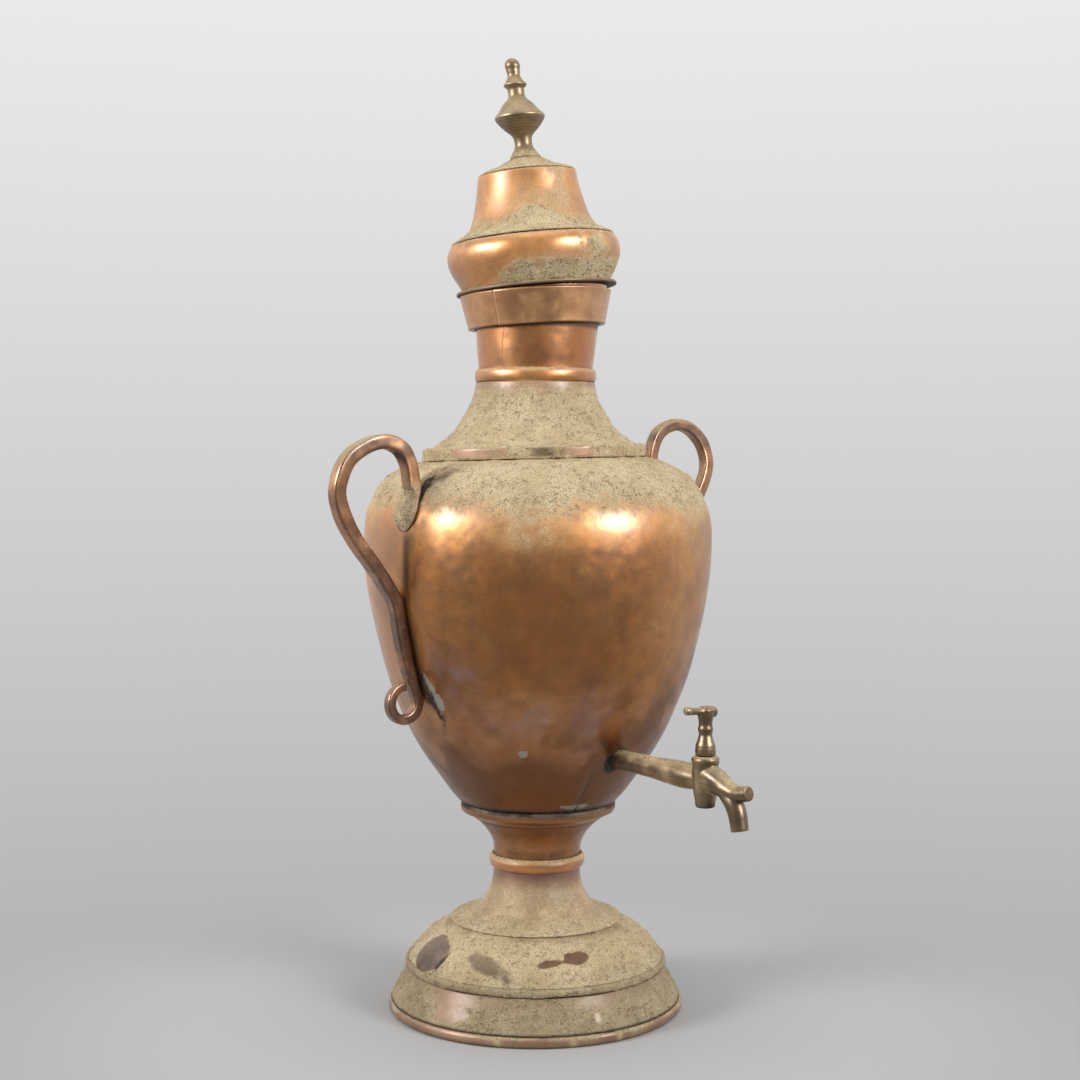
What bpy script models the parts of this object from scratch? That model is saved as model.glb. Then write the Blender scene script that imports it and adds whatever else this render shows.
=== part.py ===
"""Alembic still: a footed copper pot with a lift-off head, two scroll handles and a brass tap.

Lengths are in millimetres until a mesh is written, where MM turns them into Blender's metres.
+Z is up, the tap points along -Y and the handles stand along +X and -X. The origin is at the
middle of the whole object's box, on the surface that the foot stands on.
"""

import math

import bmesh
import bpy
from mathutils import Matrix, Vector

# ---------------------------------------------------------------- driving dimensions (mm)
MM = 0.001
WIDE_SEGMENTS = 32       # facets round the foot, the body and the shoulder ring
SEGMENTS = 24            # facets round the narrower turned copper
BRASS_SEGMENTS = 16      # facets round the turned brass
GAP = 0.3                # clearance between pieces that touch
WELD_DISTANCE = 0.00002  # metres; joins the doubled points that a Boolean leaves
SHEET = 1.5              # thickness of the hammered copper
SKIRT_SHEET = 1.2        # thickness of the head's inner skirt

AXIS_Y = 49.5            # the pot's own axis stands this far behind the middle of the box

FOOT_RADIUS = 125.3
STEP_Z = 36.7            # underside of the raised ring on the foot
STEM_RADIUS = 37.0
STEM_JOINT_Z = 126.0     # where the lower cone of the stem meets the upper cup
SEAT_Z = 161.7           # underside of the folded ring that carries the body
BODY_BOTTOM_Z = 177.1
BODY_RADIUS = 147.2
BODY_WIDEST_Z = 390.0
SHOULDER_Z = 467.3       # top of the body, under the shoulder ring
RING_RADIUS = 94.4
RING_HEIGHT = 10.3
NECK_RADIUS = 48.2
NECK_JOINT_Z = 532.0     # where the neck cone ends round the neck tube
COLLAR_Z = 579.0
COLLAR_HEIGHT = 28.0
COLLAR_LEAN = math.radians(2.8)

HEAD_Z = 610.8           # the head's brim
HEAD_SHIFT = 1.2         # the head's brim sits this far along LEAN from the pot's axis
HEAD_LEAN = math.radians(4.8)
BRIM_RADIUS = 68.0
BULGE_RADIUS = 73.0
PLATE_Z = 96.7           # edge of the top plate, above the brim
FINIAL_Z = 110.3         # foot of the finial, above the brim
FINIAL_BEND = math.tan(math.radians(3.4))

TAP_REACH = 200.6        # from the pot's axis to the tap's upright barrel
TAP_Z = 220.4            # the waterway at the barrel
TAP_SLOPE = math.tan(math.radians(2.1))
TAP_ROOT = 84.0          # inner end of the shank, from the pot's axis
WATERWAY = 4.0           # radius of the bore along the shank
OUTLET_BORE = 3.9

HANDLE_BAR = 5.8         # half the thickness of the square bar
LEAF_LIFT = 1.9          # from the body's skin to the middle of the leaf
SCROLL_Z = 277.5         # where the scroll's eye stands off the body, on the left handle
SCROLL_CLEARANCE = 18.3  # from the body's skin to the scroll's eye
SCROLL_RADIUS = 13.3
SCROLL_STEPS = 13

# The old pot isn't straight: its neck and head lean this way, and its centre line wanders.
LEAN = Vector((-0.766, 0.643, 0.0)).normalized()
WANDER = ((0, 2.5), (45, 2.3), (110, 1.4), (160, 0), (456, 0), (467, 3.6), (505, 2.9),
          (530, 2.2), (560, 1.5), (580, 0.9), (640, 0.0))
SLUMP = math.tan(math.radians(1.4))
SLUMP_SHARE = ((456, 0), (467, 1), (479, 1), (530, 0))

COPPER = (0.30, 0.135, 0.062)
DUSTY_COPPER = (0.42, 0.33, 0.21)
BRASS = (0.30, 0.215, 0.11)
TIN = (0.33, 0.32, 0.30)


# ---------------------------------------------------------------- scene and materials
def clear_scene():
    for old in list(bpy.data.objects):
        bpy.data.objects.remove(old, do_unlink=True)


def make_material(name, colour, roughness, metallic):
    material = bpy.data.materials.new(name)
    material.use_nodes = True
    shader = material.node_tree.nodes["Principled BSDF"]
    shader.inputs["Base Color"].default_value = (*colour, 1.0)
    shader.inputs["Roughness"].default_value = roughness
    shader.inputs["Metallic"].default_value = metallic
    return material


def copper(name):
    return make_material(name + "_copper", COPPER, 0.38, 0.9)


def dusty(name):
    return make_material(name + "_dusty_copper", DUSTY_COPPER, 0.85, 0.2)


def brass(name):
    return make_material(name + "_brass", BRASS, 0.42, 0.9)


def tin(name):
    return make_material(name + "_tin", TIN, 0.55, 0.7)


# ---------------------------------------------------------------- outlines
def smooth(points, steps):
    """A Catmull-Rom curve through points, which may have any number of values each."""
    ends = [tuple(2 * a - b for a, b in zip(points[0], points[1])), *points,
            tuple(2 * a - b for a, b in zip(points[-1], points[-2]))]
    curve = []
    for before, start, stop, after in zip(ends, ends[1:], ends[2:], ends[3:]):
        for step in range(steps):
            t = step / steps
            curve.append(tuple(
                0.5 * (2 * b + (c - a) * t + (2 * a - 5 * b + 4 * c - d) * t ** 2
                       + (3 * b - a - 3 * c + d) * t ** 3)
                for a, b, c, d in zip(before, start, stop, after)))
    curve.append(tuple(points[-1]))
    return curve


def inward(start, stop):
    """Unit normal on the left of a run of outline, which is its inner side going upwards."""
    along_r, along_z = stop[0] - start[0], stop[1] - start[1]
    length = math.hypot(along_r, along_z)
    return -along_z / length, along_r / length


def sheet(outer, thickness=SHEET, ends=("level", "level")):
    """Section of a sheet whose outer face is given from bottom to top. An end is cut off level
    or upright."""
    normals = [inward(a, b) for a, b in zip(outer, outer[1:])]
    inner = []
    for index, (r, z) in enumerate(outer):
        if 0 < index < len(outer) - 1:
            (ar, az), (br, bz) = normals[index - 1], normals[index]
            share = thickness / (1 + ar * br + az * bz)
            inner.append((r + (ar + br) * share, z + (az + bz) * share))
            continue
        nr, nz = normals[0] if index == 0 else normals[-1]
        cut = ends[0] if index == 0 else ends[1]
        inner.append((r + thickness / nr, z) if cut == "level" else (r, z + thickness / nz))
    return outer + inner[::-1]


def interpolate(table, at):
    for (x0, y0), (x1, y1) in zip(table, table[1:]):
        if at <= x1:
            share = max(0.0, (at - x0) / (x1 - x0))
            return y0 + (y1 - y0) * share
    return table[-1][1]


def settle(point):
    """Moves a point of the pot as the old pot has sagged: its centre line wanders and its
    shoulder has slumped to one side."""
    side = point.dot(LEAN)
    height = point.z
    moved = point + LEAN * interpolate(WANDER, height)
    moved.z -= SLUMP * side * interpolate(SLUMP_SHARE, height)
    return moved


# ---------------------------------------------------------------- meshes
def finish_mesh(name, mesh_data, material, sharp=40.0):
    """Writes a bmesh, in millimetres, into a new object in metres."""
    bmesh.ops.recalc_face_normals(mesh_data, faces=mesh_data.faces)
    bmesh.ops.scale(mesh_data, vec=(MM, MM, MM), verts=mesh_data.verts)
    mesh = bpy.data.meshes.new(name)
    mesh_data.to_mesh(mesh)
    mesh_data.free()
    mesh.shade_smooth()
    mesh.set_sharp_from_angle(angle=math.radians(sharp))
    mesh.materials.append(material)
    made = bpy.data.objects.new(name, mesh)
    bpy.context.scene.collection.objects.link(made)
    return made


def turned(name, section, material, segments=SEGMENTS, bend=None, turn=None):
    """Turns a closed section of (radius, height) points about Z. bend moves each point, and
    turn is a matrix that lays the finished piece on another axis."""
    shape = bmesh.new()
    rings = []
    for radius, height in section:
        count = 1 if radius == 0 else segments
        angles = [2 * math.pi * index / segments for index in range(count)]
        spots = [Vector((radius * math.cos(a), radius * math.sin(a), height)) for a in angles]
        rings.append([shape.verts.new(bend(spot) if bend else spot) for spot in spots])
    for low, high in zip(rings, rings[1:] + rings[:1]):
        for index in range(segments):
            after = (index + 1) % segments
            corners = [low[index % len(low)], low[after % len(low)],
                       high[after % len(high)], high[index % len(high)]]
            face = list(dict.fromkeys(corners))
            if len(face) > 2:
                shape.faces.new(face)
    if turn:
        bmesh.ops.transform(shape, matrix=turn, verts=shape.verts)
    return finish_mesh(name, shape, material)


def swept(name, path, material, out, corners):
    """Sweeps a section along a path in the upright plane that holds the direction out. A path
    point is (reach, height, half thickness in the plane, half width across it, swing), where
    swing turns that plane about the pot's axis, in degrees."""
    shape = bmesh.new()
    rings = []
    for index, (reach, height, thick, wide, swing) in enumerate(path):
        before = path[max(index - 1, 0)]
        after = path[min(index + 1, len(path) - 1)]
        nr, nz = inward(before, after)
        turned_out = Matrix.Rotation(math.radians(swing), 3, "Z") @ out
        across = turned_out.cross(Vector((0, 0, 1)))
        centre = turned_out * reach + Vector((0, 0, height))
        normal = turned_out * nr + Vector((0, 0, nz))
        rings.append([shape.verts.new(centre + normal * thick * a + across * wide * b)
                      for a, b in corners])
    for low, high in zip(rings, rings[1:]):
        for index in range(len(corners)):
            after = (index + 1) % len(corners)
            shape.faces.new((low[index], low[after], high[after], high[index]))
    shape.faces.new(rings[0])
    shape.faces.new(rings[-1])
    return finish_mesh(name, shape, material, sharp=60.0)


def round_corners(count):
    angles = [2 * math.pi * index / count for index in range(count)]
    return [(math.cos(a), math.sin(a)) for a in angles]


def square_corners(chamfer=0.55):
    """Eight corners of a square bar with its edges hammered off."""
    return [(1, -chamfer), (1, chamfer), (chamfer, 1), (-chamfer, 1),
            (-1, chamfer), (-1, -chamfer), (-chamfer, -1), (chamfer, -1)]


def boolean(target, tool, operation):
    tool.hide_render = True
    tool.display_type = "WIRE"
    modifier = target.modifiers.new(f"{operation.lower()}_{tool.name}", "BOOLEAN")
    modifier.object = tool
    modifier.operation = operation
    modifier.solver = "EXACT"
    weld = target.modifiers.new(f"weld_{tool.name}", "WELD")
    weld.merge_threshold = WELD_DISTANCE


def stand(thing, parent=None, spot=(0.0, AXIS_Y, 0.0)):
    """Places a finished piece by its location, in millimetres, under its parent."""
    thing.location = Vector(spot) * MM
    thing.parent = parent
    return thing


def rod(name, start, stop, radius, material, segments=BRASS_SEGMENTS):
    """A plain round rod between two points in millimetres, used as a cutter or a filler."""
    along = Vector(stop) - Vector(start)
    turn = Matrix.Translation(Vector(start)) @ along.to_track_quat("Z", "Y").to_matrix().to_4x4()
    section = [(0, 0), (radius, 0), (radius, along.length), (0, along.length)]
    return turned(name, section, material, segments, turn=turn)


# ---------------------------------------------------------------- the foot and the stem
def place_wide(name, section, finish):
    """A turned piece of the pot's wide parts, sagged with the rest of the pot."""
    return stand(turned(name, section, finish(name), WIDE_SEGMENTS, bend=settle))


def make_foot():
    rim = [(118.4, 0), (123.4, 0), (FOOT_RADIUS, 2.4), (FOOT_RADIUS, 6.6), (123.4, 9.2),
           (118.4, 9.2)]
    place_wide("foot_rim", rim, dusty)

    skirt = smooth([(123.2, 9.2 + GAP), (119.4, 18), (113.4, 29), (109.4, STEP_Z - GAP)], 2)
    place_wide("foot_skirt", sheet(skirt), dusty)

    step = [(106.2, STEP_Z), (110.2, STEP_Z), (111.4, STEP_Z + 1.6), (111.4, STEP_Z + 5),
            (110.0, STEP_Z + 6.5), (106.2, STEP_Z + 6.5)]
    place_wide("foot_step", step, dusty)

    dome = [(108.6, STEP_Z + 6.5 + GAP), (103.3, 51), (96.8, 58.5), (88.3, 65.5), (78.5, 71.5),
            (71, 75.4), (62, 76)]
    place_wide("foot_dome", sheet(dome, ends=("level", "upright")), dusty)


def place_narrow(name, section, finish):
    """A turned piece of the pot's narrower parts, sagged with the rest of the pot."""
    return stand(turned(name, section, finish(name), bend=settle))


def make_stem():
    lap_edge = [(66, 76 + GAP), (72.8, 76 + GAP), (72.8, 77.2)]
    flare = [(70, 78.2), (54, 84.8), (46.8, 90.5), (41.8, 98), (38.3, 107),
             (STEM_RADIUS, 117), (STEM_RADIUS, STEM_JOINT_Z - GAP / 2)]
    cone = lap_edge + sheet(flare, ends=("upright", "level"))
    place_narrow("stem_cone", cone, dusty)

    bead_radius = STEM_RADIUS + GAP
    bead = [(bead_radius + bulge, STEM_JOINT_Z + rise) for bulge, rise in
            ((0, -6), (1.8, -5.2), (3.2, -2.4), (3.4, 0), (3.2, 2.4), (1.8, 5.2), (0, 6))]
    place_narrow("stem_bead", bead, dusty)

    cup = [(STEM_RADIUS, STEM_JOINT_Z + GAP / 2)]
    cup += smooth([(STEM_RADIUS, 133), (38, 141.5), (43.4, 151.8), (52.2, SEAT_Z - GAP)], 2)
    place_narrow("stem_cup", sheet(cup), copper)

    seat = [(49.6, SEAT_Z), (53.6, SEAT_Z), (57.5, 165.2), (61.5, 166.9), (65, 168.6),
            (66.1, 171), (65.7, 175), (64.4, BODY_BOTTOM_Z - GAP), (56, BODY_BOTTOM_Z - GAP)]
    place_narrow("seat_ring", seat, tin)


# ---------------------------------------------------------------- the body
def body_outline():
    """The body's outer face, from its bottom edge over the shoulder to its inner flange."""
    side = smooth([(66.3, BODY_BOTTOM_Z), (79.6, 193.2), (106.5, 234.3), (128.2, 287),
                   (142.8, 348), (BODY_RADIUS, BODY_WIDEST_Z), (144.9, 423),
                   (131.4, 449.7), (117, 460)], 2)
    return side + [(105, 464.7), (RING_RADIUS, 467.0), (84, SHOULDER_Z)]


def on_body(height, lift):
    """A point above the body's skin, as distance from the axis and height."""
    outline = body_outline()
    for start, stop in zip(outline, outline[1:]):
        if start[1] <= height <= stop[1]:
            share = (height - start[1]) / (stop[1] - start[1])
            radius = start[0] + (stop[0] - start[0]) * share
            nr, nz = inward(start, stop)
            return radius - nr * lift, height - nz * lift
    raise ValueError("height is outside the body")


def tap_line(reach):
    """Height of the shank's centre line, which slopes down to the barrel."""
    return TAP_Z + (TAP_REACH - reach) * TAP_SLOPE


def make_body():
    body = place_wide("body_vessel", sheet(body_outline(), ends=("level", "upright")), copper)
    hole = rod("tap_hole_cutter", (0, -(TAP_ROOT - 14), tap_line(TAP_ROOT - 14)),
               (0, -130, tap_line(130)), 8.3 + GAP, copper("tap_hole"))
    boolean(body, stand(hole), "DIFFERENCE")

    floor = [(0, BODY_BOTTOM_Z), (63.9, BODY_BOTTOM_Z), (65.0, BODY_BOTTOM_Z + 1.8),
             (0, BODY_BOTTOM_Z + 1.8)]
    place_wide("body_floor", floor, tin)


# ---------------------------------------------------------------- shoulder ring, neck, collar
def make_neck():
    low = SHOULDER_Z + GAP
    high = low + RING_HEIGHT
    ring = [(83, low), (RING_RADIUS - 0.4, low), (RING_RADIUS, low + 0.8),
            (RING_RADIUS, high - 1.2), (RING_RADIUS - 0.9, high), (83, high)]
    place_wide("shoulder_ring", ring, dusty)

    cone = [(87, high + GAP), (77.5, 484), (66.5, 495), (58.5, 508), (53.3, 518.5),
            (50.4, NECK_JOINT_Z)]
    place_narrow("neck_cone", sheet(cone), dusty)

    tube = [(NECK_RADIUS, NECK_JOINT_Z - 8), (NECK_RADIUS, NECK_JOINT_Z + 11.5),
            (49.9, 558), (51.6, COLLAR_Z - 1), (52.4, COLLAR_Z + 12)]
    place_narrow("neck_tube", sheet(tube), copper)

    bead_radius = NECK_RADIUS + GAP
    bead = [(bead_radius + bulge, NECK_JOINT_Z + GAP + rise) for bulge, rise in
            ((0, 0), (1.9, 0), (2.9, 2.6), (3.1, 5.4), (2.9, 8), (1.7, 10.6), (0.3, 11.2))]
    place_narrow("neck_bead", bead, copper)


def lean_matrix(angle):
    """Tips +Z towards LEAN."""
    return Matrix.Rotation(angle, 4, Vector((0, 0, 1)).cross(LEAN))


def make_frame(name, height, shift, angle):
    """An empty on the leaning axis of a group of pieces."""
    frame = bpy.data.objects.new(name, None)
    bpy.context.scene.collection.objects.link(frame)
    spot = Vector((0, AXIS_Y, height)) + LEAN * shift
    frame.matrix_world = Matrix.Translation(spot * MM) @ lean_matrix(angle)
    return frame


def make_collar():
    frame = make_frame("collar_frame", COLLAR_Z, interpolate(WANDER, COLLAR_Z), COLLAR_LEAN)
    wall = [(57.9, 0), (60.4, COLLAR_HEIGHT * 0.4), (64.2, COLLAR_HEIGHT)]
    stand(turned("collar", sheet(wall), copper("collar")), frame, (0, 0, 0))
    ledge = [(52.9, 0), (56.0, 0), (56.3, 1.8), (52.9, 1.8)]
    stand(turned("collar_ledge", ledge, tin("collar_ledge")), frame, (0, 0, 0))


# ---------------------------------------------------------------- the lift-off head
def finial_outline():
    """The brass finial above its foot: baluster, sharp-edged knop, disc and ball."""
    foot = smooth([(13.4, 0), (11.2, 3.6), (7.9, 9), (7.4, 13.5), (8.4, 18.5), (10.8, 21.5)], 2)
    knop = [(18.6, 31.4), (21, 33), (21.3, 34.8), (21, 36.6), (18.4, 38.8)]
    upper = smooth([(12.6, 46), (7.6, 51), (6.9, 56), (7.2, 59)], 2)
    disc = [(8.6, 60.2), (9.1, 62.2), (8.6, 64.4)]
    neck = smooth([(6.6, 66.4), (5.3, 69.6), (5.6, 72.4)], 2)
    ball = [(6.5 * math.sin(a), 78 - 6.5 * math.cos(a)) for a in
            (math.radians(step) for step in (75, 100, 125, 150))]
    return foot + knop + upper + disc + neck + ball + [(0, 84.5)]


def bend_finial(point):
    """The finial was bent over: everything above its foot leans further than the head."""
    return point + LEAN * FINIAL_BEND * max(0.0, point.z)


def make_head():
    frame = make_frame("head_frame", HEAD_Z, HEAD_SHIFT, HEAD_LEAN)

    def place(name, section, material, **options):
        return stand(turned(name, section, material, **options), frame, (0, 0, 0))

    skirt = [(57.2, -14), (59.5, -1.2 - GAP)]
    place("head_skirt", sheet(skirt, SKIRT_SHEET), copper("head_skirt"))
    brim = [(57.6, -1.2), (BRIM_RADIUS - 0.3, -1.2), (BRIM_RADIUS, 0.2),
            (BRIM_RADIUS - 0.5, 1.4), (57.6, 1.4)]
    place("head_brim", brim, dusty("head_brim"))
    bulge = [(62.2, 1.4 + GAP), (66.2, 9.5), (70.9, 18.5), (BULGE_RADIUS, 27), (72.5, 34.5),
             (69.4, 40.4)]
    place("head_bulge", sheet(bulge), copper("head_bulge"))
    cap = [(68.6, 41.9), (67.2, 43.6), (60.5, 46.2), (54.6, 50.6), (49.5, 60), (45.6, 74),
           (43.2, 86), (41.7, PLATE_Z - GAP)]
    place("head_cap", sheet(cap), dusty("head_cap"))
    plate = [(41.6, PLATE_Z), (41.2, PLATE_Z + 1.2), (35.5, 99.8), (22, 105.4),
             (13.8, FINIAL_Z - GAP), (5.4, FINIAL_Z - GAP), (5.4, FINIAL_Z - 2.2),
             (14, FINIAL_Z - 2.2), (36, 97.8), (39, PLATE_Z)]
    place("head_plate", plate, dusty("head_plate"))

    stud = [(0, -11), (4.6, -11), (4.6, 0)]
    lift = Matrix.Translation((0, 0, FINIAL_Z))
    place("finial", stud + finial_outline(), brass("finial"), segments=BRASS_SEGMENTS,
          bend=bend_finial, turn=lift)
    nut = [(5.0, FINIAL_Z - 7.5), (8.5, FINIAL_Z - 7.5), (8.5, FINIAL_Z - 2.2 - GAP),
           (5.0, FINIAL_Z - 2.2 - GAP)]
    place("finial_nut", nut, brass("finial_nut"), segments=BRASS_SEGMENTS)


# ---------------------------------------------------------------- the handles
# Each arch is (distance from the pot's axis, height, swing about that axis in degrees), from the
# leg that comes down to the leaf, over the top, and down to where the bar meets the body.
LEFT_ARCH = ((142.4, 448, 5.0), (145.2, 464, 4.8), (153, 476, 4.4), (167.5, 481.2, 3.8),
             (185.6, 476.7, 3.0), (201, 465, 2.3), (207.9, 444, 1.7), (203, 425, 1.3),
             (190.4, 405, 1.0), (169.2, 379.7, 0.6), (151.0, 354, 0.5))
RIGHT_ARCH = ((143, 455, 5.0), (145.2, 476, 4.8), (154, 491.5, 4.4), (172, 499.0, 3.7),
              (188.6, 496, 3.0), (202, 484.5, 2.2), (207.4, 468, 1.5), (204, 452, 1.1),
              (191, 429.5, 0.9), (170, 401, 0.6), (152.8, 371, 0.5))
FOOT_SWING = 0.5
FOOT_LIFT = 1.1


def handle_path(arch, thickness, lift):
    """From the leaf on the shoulder, over the arch and down to the scroll on the body. The bar
    is twice thickness wide, and lift raises its foot and the scroll."""
    leaf = [(*on_body(412, LEAF_LIFT - 0.3), 1.2, 5.5, 3.6),
            (*on_body(418, LEAF_LIFT), 1.5, 11.0, 3.7), (*on_body(427, LEAF_LIFT), 1.6, 12.6, 3.9),
            (*on_body(435, LEAF_LIFT + 0.6), 2.2, 9.8, 4.4),
            (*on_body(441, LEAF_LIFT + 3), 4.4, 6.8, 4.9)]
    bar = [(reach, height, thickness, thickness, swing) for reach, height, swing in arch]
    foot = [(*on_body(height + lift, half + FOOT_LIFT), half, half, FOOT_SWING)
            for height, half in ((333, 5.5), (314, 5.2), (295, 4.8))]
    eye_reach, eye_height = on_body(SCROLL_Z + lift, SCROLL_CLEARANCE)
    scroll = []
    for step in range(SCROLL_STEPS + 1):
        share = step / SCROLL_STEPS
        angle = math.radians(150 + share * 292)
        half = 4.4 - 1.1 * share
        scroll.append((eye_reach + SCROLL_RADIUS * math.cos(angle),
                       eye_height + SCROLL_RADIUS * math.sin(angle), half, half, FOOT_SWING))
    return smooth(leaf + bar + foot, 2) + scroll


def make_handles():
    for name, side, arch, thickness, lift in (
            ("handle_left", -1, LEFT_ARCH, HANDLE_BAR, 0),
            ("handle_right", 1, RIGHT_ARCH, HANDLE_BAR - 0.5, 16)):
        stand(swept(name, handle_path(arch, thickness, lift), copper(name),
                    Vector((side, 0, 0)), square_corners()))


# ---------------------------------------------------------------- the tap
def make_tap():
    out = Vector((0, -1, 0))
    name = "tap_body"
    metal = brass(name)
    shank = smooth([(reach, tap_line(reach), radius, radius, 0) for reach, radius in
                    ((TAP_ROOT, 7.9), (110, 8.1), (140, 8.6), (162, 9.8), (178, 10.4),
                     (196, 8.8))], 2)
    body = stand(swept(name, shank, metal, out, round_corners(BRASS_SEGMENTS)))

    barrel = [(0, 199.2), (7.5, 199.2), (8.2, 205), (9.6, 213), (9.9, 228), (10.2, 233),
              (10.9, 234.6), (10.9, 237.4), (9.8, 238.9), (0, 238.9)]
    lift = Matrix.Translation((0, -TAP_REACH, 0))
    barrel_part = turned("tap_barrel_filler", barrel, metal, BRASS_SEGMENTS, turn=lift)
    arm = smooth([(201, TAP_Z, 8.6, 8.6, 0), (212, TAP_Z - 0.4, 9.2, 9.0, 0),
                  (222, 217, 8.0, 8.0, 0), (231, 214.2, 6.8, 7.0, 0), (238, 214.2, 5.8, 6.6, 0),
                  (246.5, 216, 5.0, 5.6, 0)], 2)
    arm_part = swept("tap_arm_filler", arm, metal, out, round_corners(BRASS_SEGMENTS))
    outlet = smooth([(221, 215, 6.4, 6.4, 0), (229.5, 208.5, 7.6, 7.6, 0),
                     (234.6, 199, 7.3, 7.3, 0), (237.4, 186, 6.8, 6.8, 0)], 2)
    outlet_part = swept("tap_outlet_filler", outlet, metal, out, round_corners(BRASS_SEGMENTS))
    for filler in (barrel_part, arm_part, outlet_part):
        boolean(body, stand(filler), "UNION")

    plug_bore = [(0, 196), (6.5, 196), (6.5, 202.4), (5.6, 202.5), (6.65, 243), (0, 243)]
    cutters = [
        turned("plug_bore_cutter", plug_bore, metal, BRASS_SEGMENTS, turn=lift),
        rod("waterway_cutter", (0, -TAP_ROOT + 5, tap_line(TAP_ROOT - 5)),
            (0, -TAP_REACH, TAP_Z), WATERWAY, metal, 16),
        rod("arm_bore_cutter", (0, -TAP_REACH, TAP_Z), (0, -233.0, 211.5), WATERWAY, metal, 16),
        rod("outlet_bore_cutter", (0, -231.8, 212), (0, -238.0, 182), OUTLET_BORE, metal, 16)]
    for cutter in cutters:
        boolean(body, stand(cutter), "DIFFERENCE")

    nut = [(8.4, 0), (13, 0), (13, 5.4), (8.4, 5.4)]
    tilt = Matrix.Rotation(math.pi / 2 + math.atan(TAP_SLOPE), 4, "X")
    place = Matrix.Translation((0, -TAP_ROOT - 0.3, tap_line(TAP_ROOT + 0.3))) @ tilt
    stand(turned("tap_back_nut", nut, brass("tap_back_nut"), 12, turn=place))


def make_key():
    """The tap's plug with its stem and T bar, closed: the T bar lies across the spout."""
    frame = bpy.data.objects.new("key_axis", None)
    bpy.context.scene.collection.objects.link(frame)
    frame.location = Vector((0, AXIS_Y - TAP_REACH, 0)) * MM

    metal = brass("tap_key")
    plug = [(0, 198.6), (2.9, 198.6), (2.9, 202.8), (5.25, 202.8), (6.2, 239.4), (7.3, 239.9)]
    stem = [(7.4, 244)] + smooth([(7.1, 247.6), (5.0, 252.6), (4.3, 256.6), (5.3, 259.6),
                                  (4.4, 262.8), (4.6, 266.4)], 2)
    hub = [(5.4, 270.4), (5.4, 274.6), (3.6, 277.2), (0, 277.7)]
    key = stand(turned("tap_key", plug + stem + hub, metal, BRASS_SEGMENTS), frame, (0, 0, 0))
    bar = [(0, -22.2), (2.2, -21.8), (2.9, -19.4), (2.6, -12), (3.0, -7.2), (4.1, -3.4),
           (4.3, 5), (3.9, 9), (2.6, 10.4), (0, 10.7)]
    lay = Matrix.Translation((0, 0, 273.2)) @ Matrix.Rotation(math.radians(96), 4, "Y")
    bar_part = turned("t_bar_filler", bar, metal, BRASS_SEGMENTS, turn=lay)
    boolean(key, stand(bar_part, frame, (0, 0, 0)), "UNION")
    bore = rod("key_bore_cutter", (-9, 0, TAP_Z), (9, 0, TAP_Z), 3.4, metal, 16)
    boolean(key, stand(bore, frame, (0, 0, 0)), "DIFFERENCE")

    washer = [(3.2, 200.9), (6.1, 200.9), (6.1, 202.1), (3.2, 202.1)]
    stand(turned("tap_key_washer", washer, brass("tap_key_washer"), BRASS_SEGMENTS), frame,
          (0, 0, 0))
    nut = [(3.2, 198.9), (5.0, 198.9), (5.0, 200.6), (3.2, 200.6)]
    stand(turned("tap_key_nut", nut, brass("tap_key_nut"), BRASS_SEGMENTS), frame, (0, 0, 0))


def main():
    clear_scene()
    make_foot()
    make_stem()
    make_body()
    make_neck()
    make_collar()
    make_head()
    make_handles()
    make_tap()
    make_key()


main()
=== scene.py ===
"""Looks for the copper still. Each visible piece is made again, finer, in the place that the
frame gives it, with its hammer marks, seams, dents, dust and patina."""
import math

import bpy
import numpy as np
from mathutils import Matrix, Vector


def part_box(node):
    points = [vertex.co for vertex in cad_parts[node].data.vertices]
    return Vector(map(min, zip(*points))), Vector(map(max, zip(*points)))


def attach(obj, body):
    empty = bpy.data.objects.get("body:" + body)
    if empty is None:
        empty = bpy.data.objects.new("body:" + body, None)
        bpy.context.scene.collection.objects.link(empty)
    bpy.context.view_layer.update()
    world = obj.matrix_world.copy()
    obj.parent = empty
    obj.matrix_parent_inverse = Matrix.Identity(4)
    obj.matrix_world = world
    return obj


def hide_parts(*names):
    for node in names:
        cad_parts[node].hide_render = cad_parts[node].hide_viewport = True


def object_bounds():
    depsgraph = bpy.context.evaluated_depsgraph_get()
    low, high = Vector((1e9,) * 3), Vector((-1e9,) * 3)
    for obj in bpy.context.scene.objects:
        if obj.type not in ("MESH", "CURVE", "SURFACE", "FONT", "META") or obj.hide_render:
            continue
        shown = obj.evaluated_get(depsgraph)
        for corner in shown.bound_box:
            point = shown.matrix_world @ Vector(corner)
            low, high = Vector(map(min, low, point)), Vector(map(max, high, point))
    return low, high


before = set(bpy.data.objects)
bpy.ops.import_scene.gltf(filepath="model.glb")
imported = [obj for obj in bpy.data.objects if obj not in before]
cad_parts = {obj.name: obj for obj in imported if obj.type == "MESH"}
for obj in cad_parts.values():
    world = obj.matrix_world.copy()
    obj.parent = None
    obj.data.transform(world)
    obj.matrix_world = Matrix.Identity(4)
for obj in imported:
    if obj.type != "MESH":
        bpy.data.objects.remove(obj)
cad_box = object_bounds()

MM = 0.001
FLOOR_LOW, FLOOR_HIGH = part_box("body_floor")
AXIS = (FLOOR_LOW + FLOOR_HIGH) / 2 / MM       # the pot's own axis, in millimetres
AXIS.z = 0
FRONT = -130.0                                 # compass direction of the still's front

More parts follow.
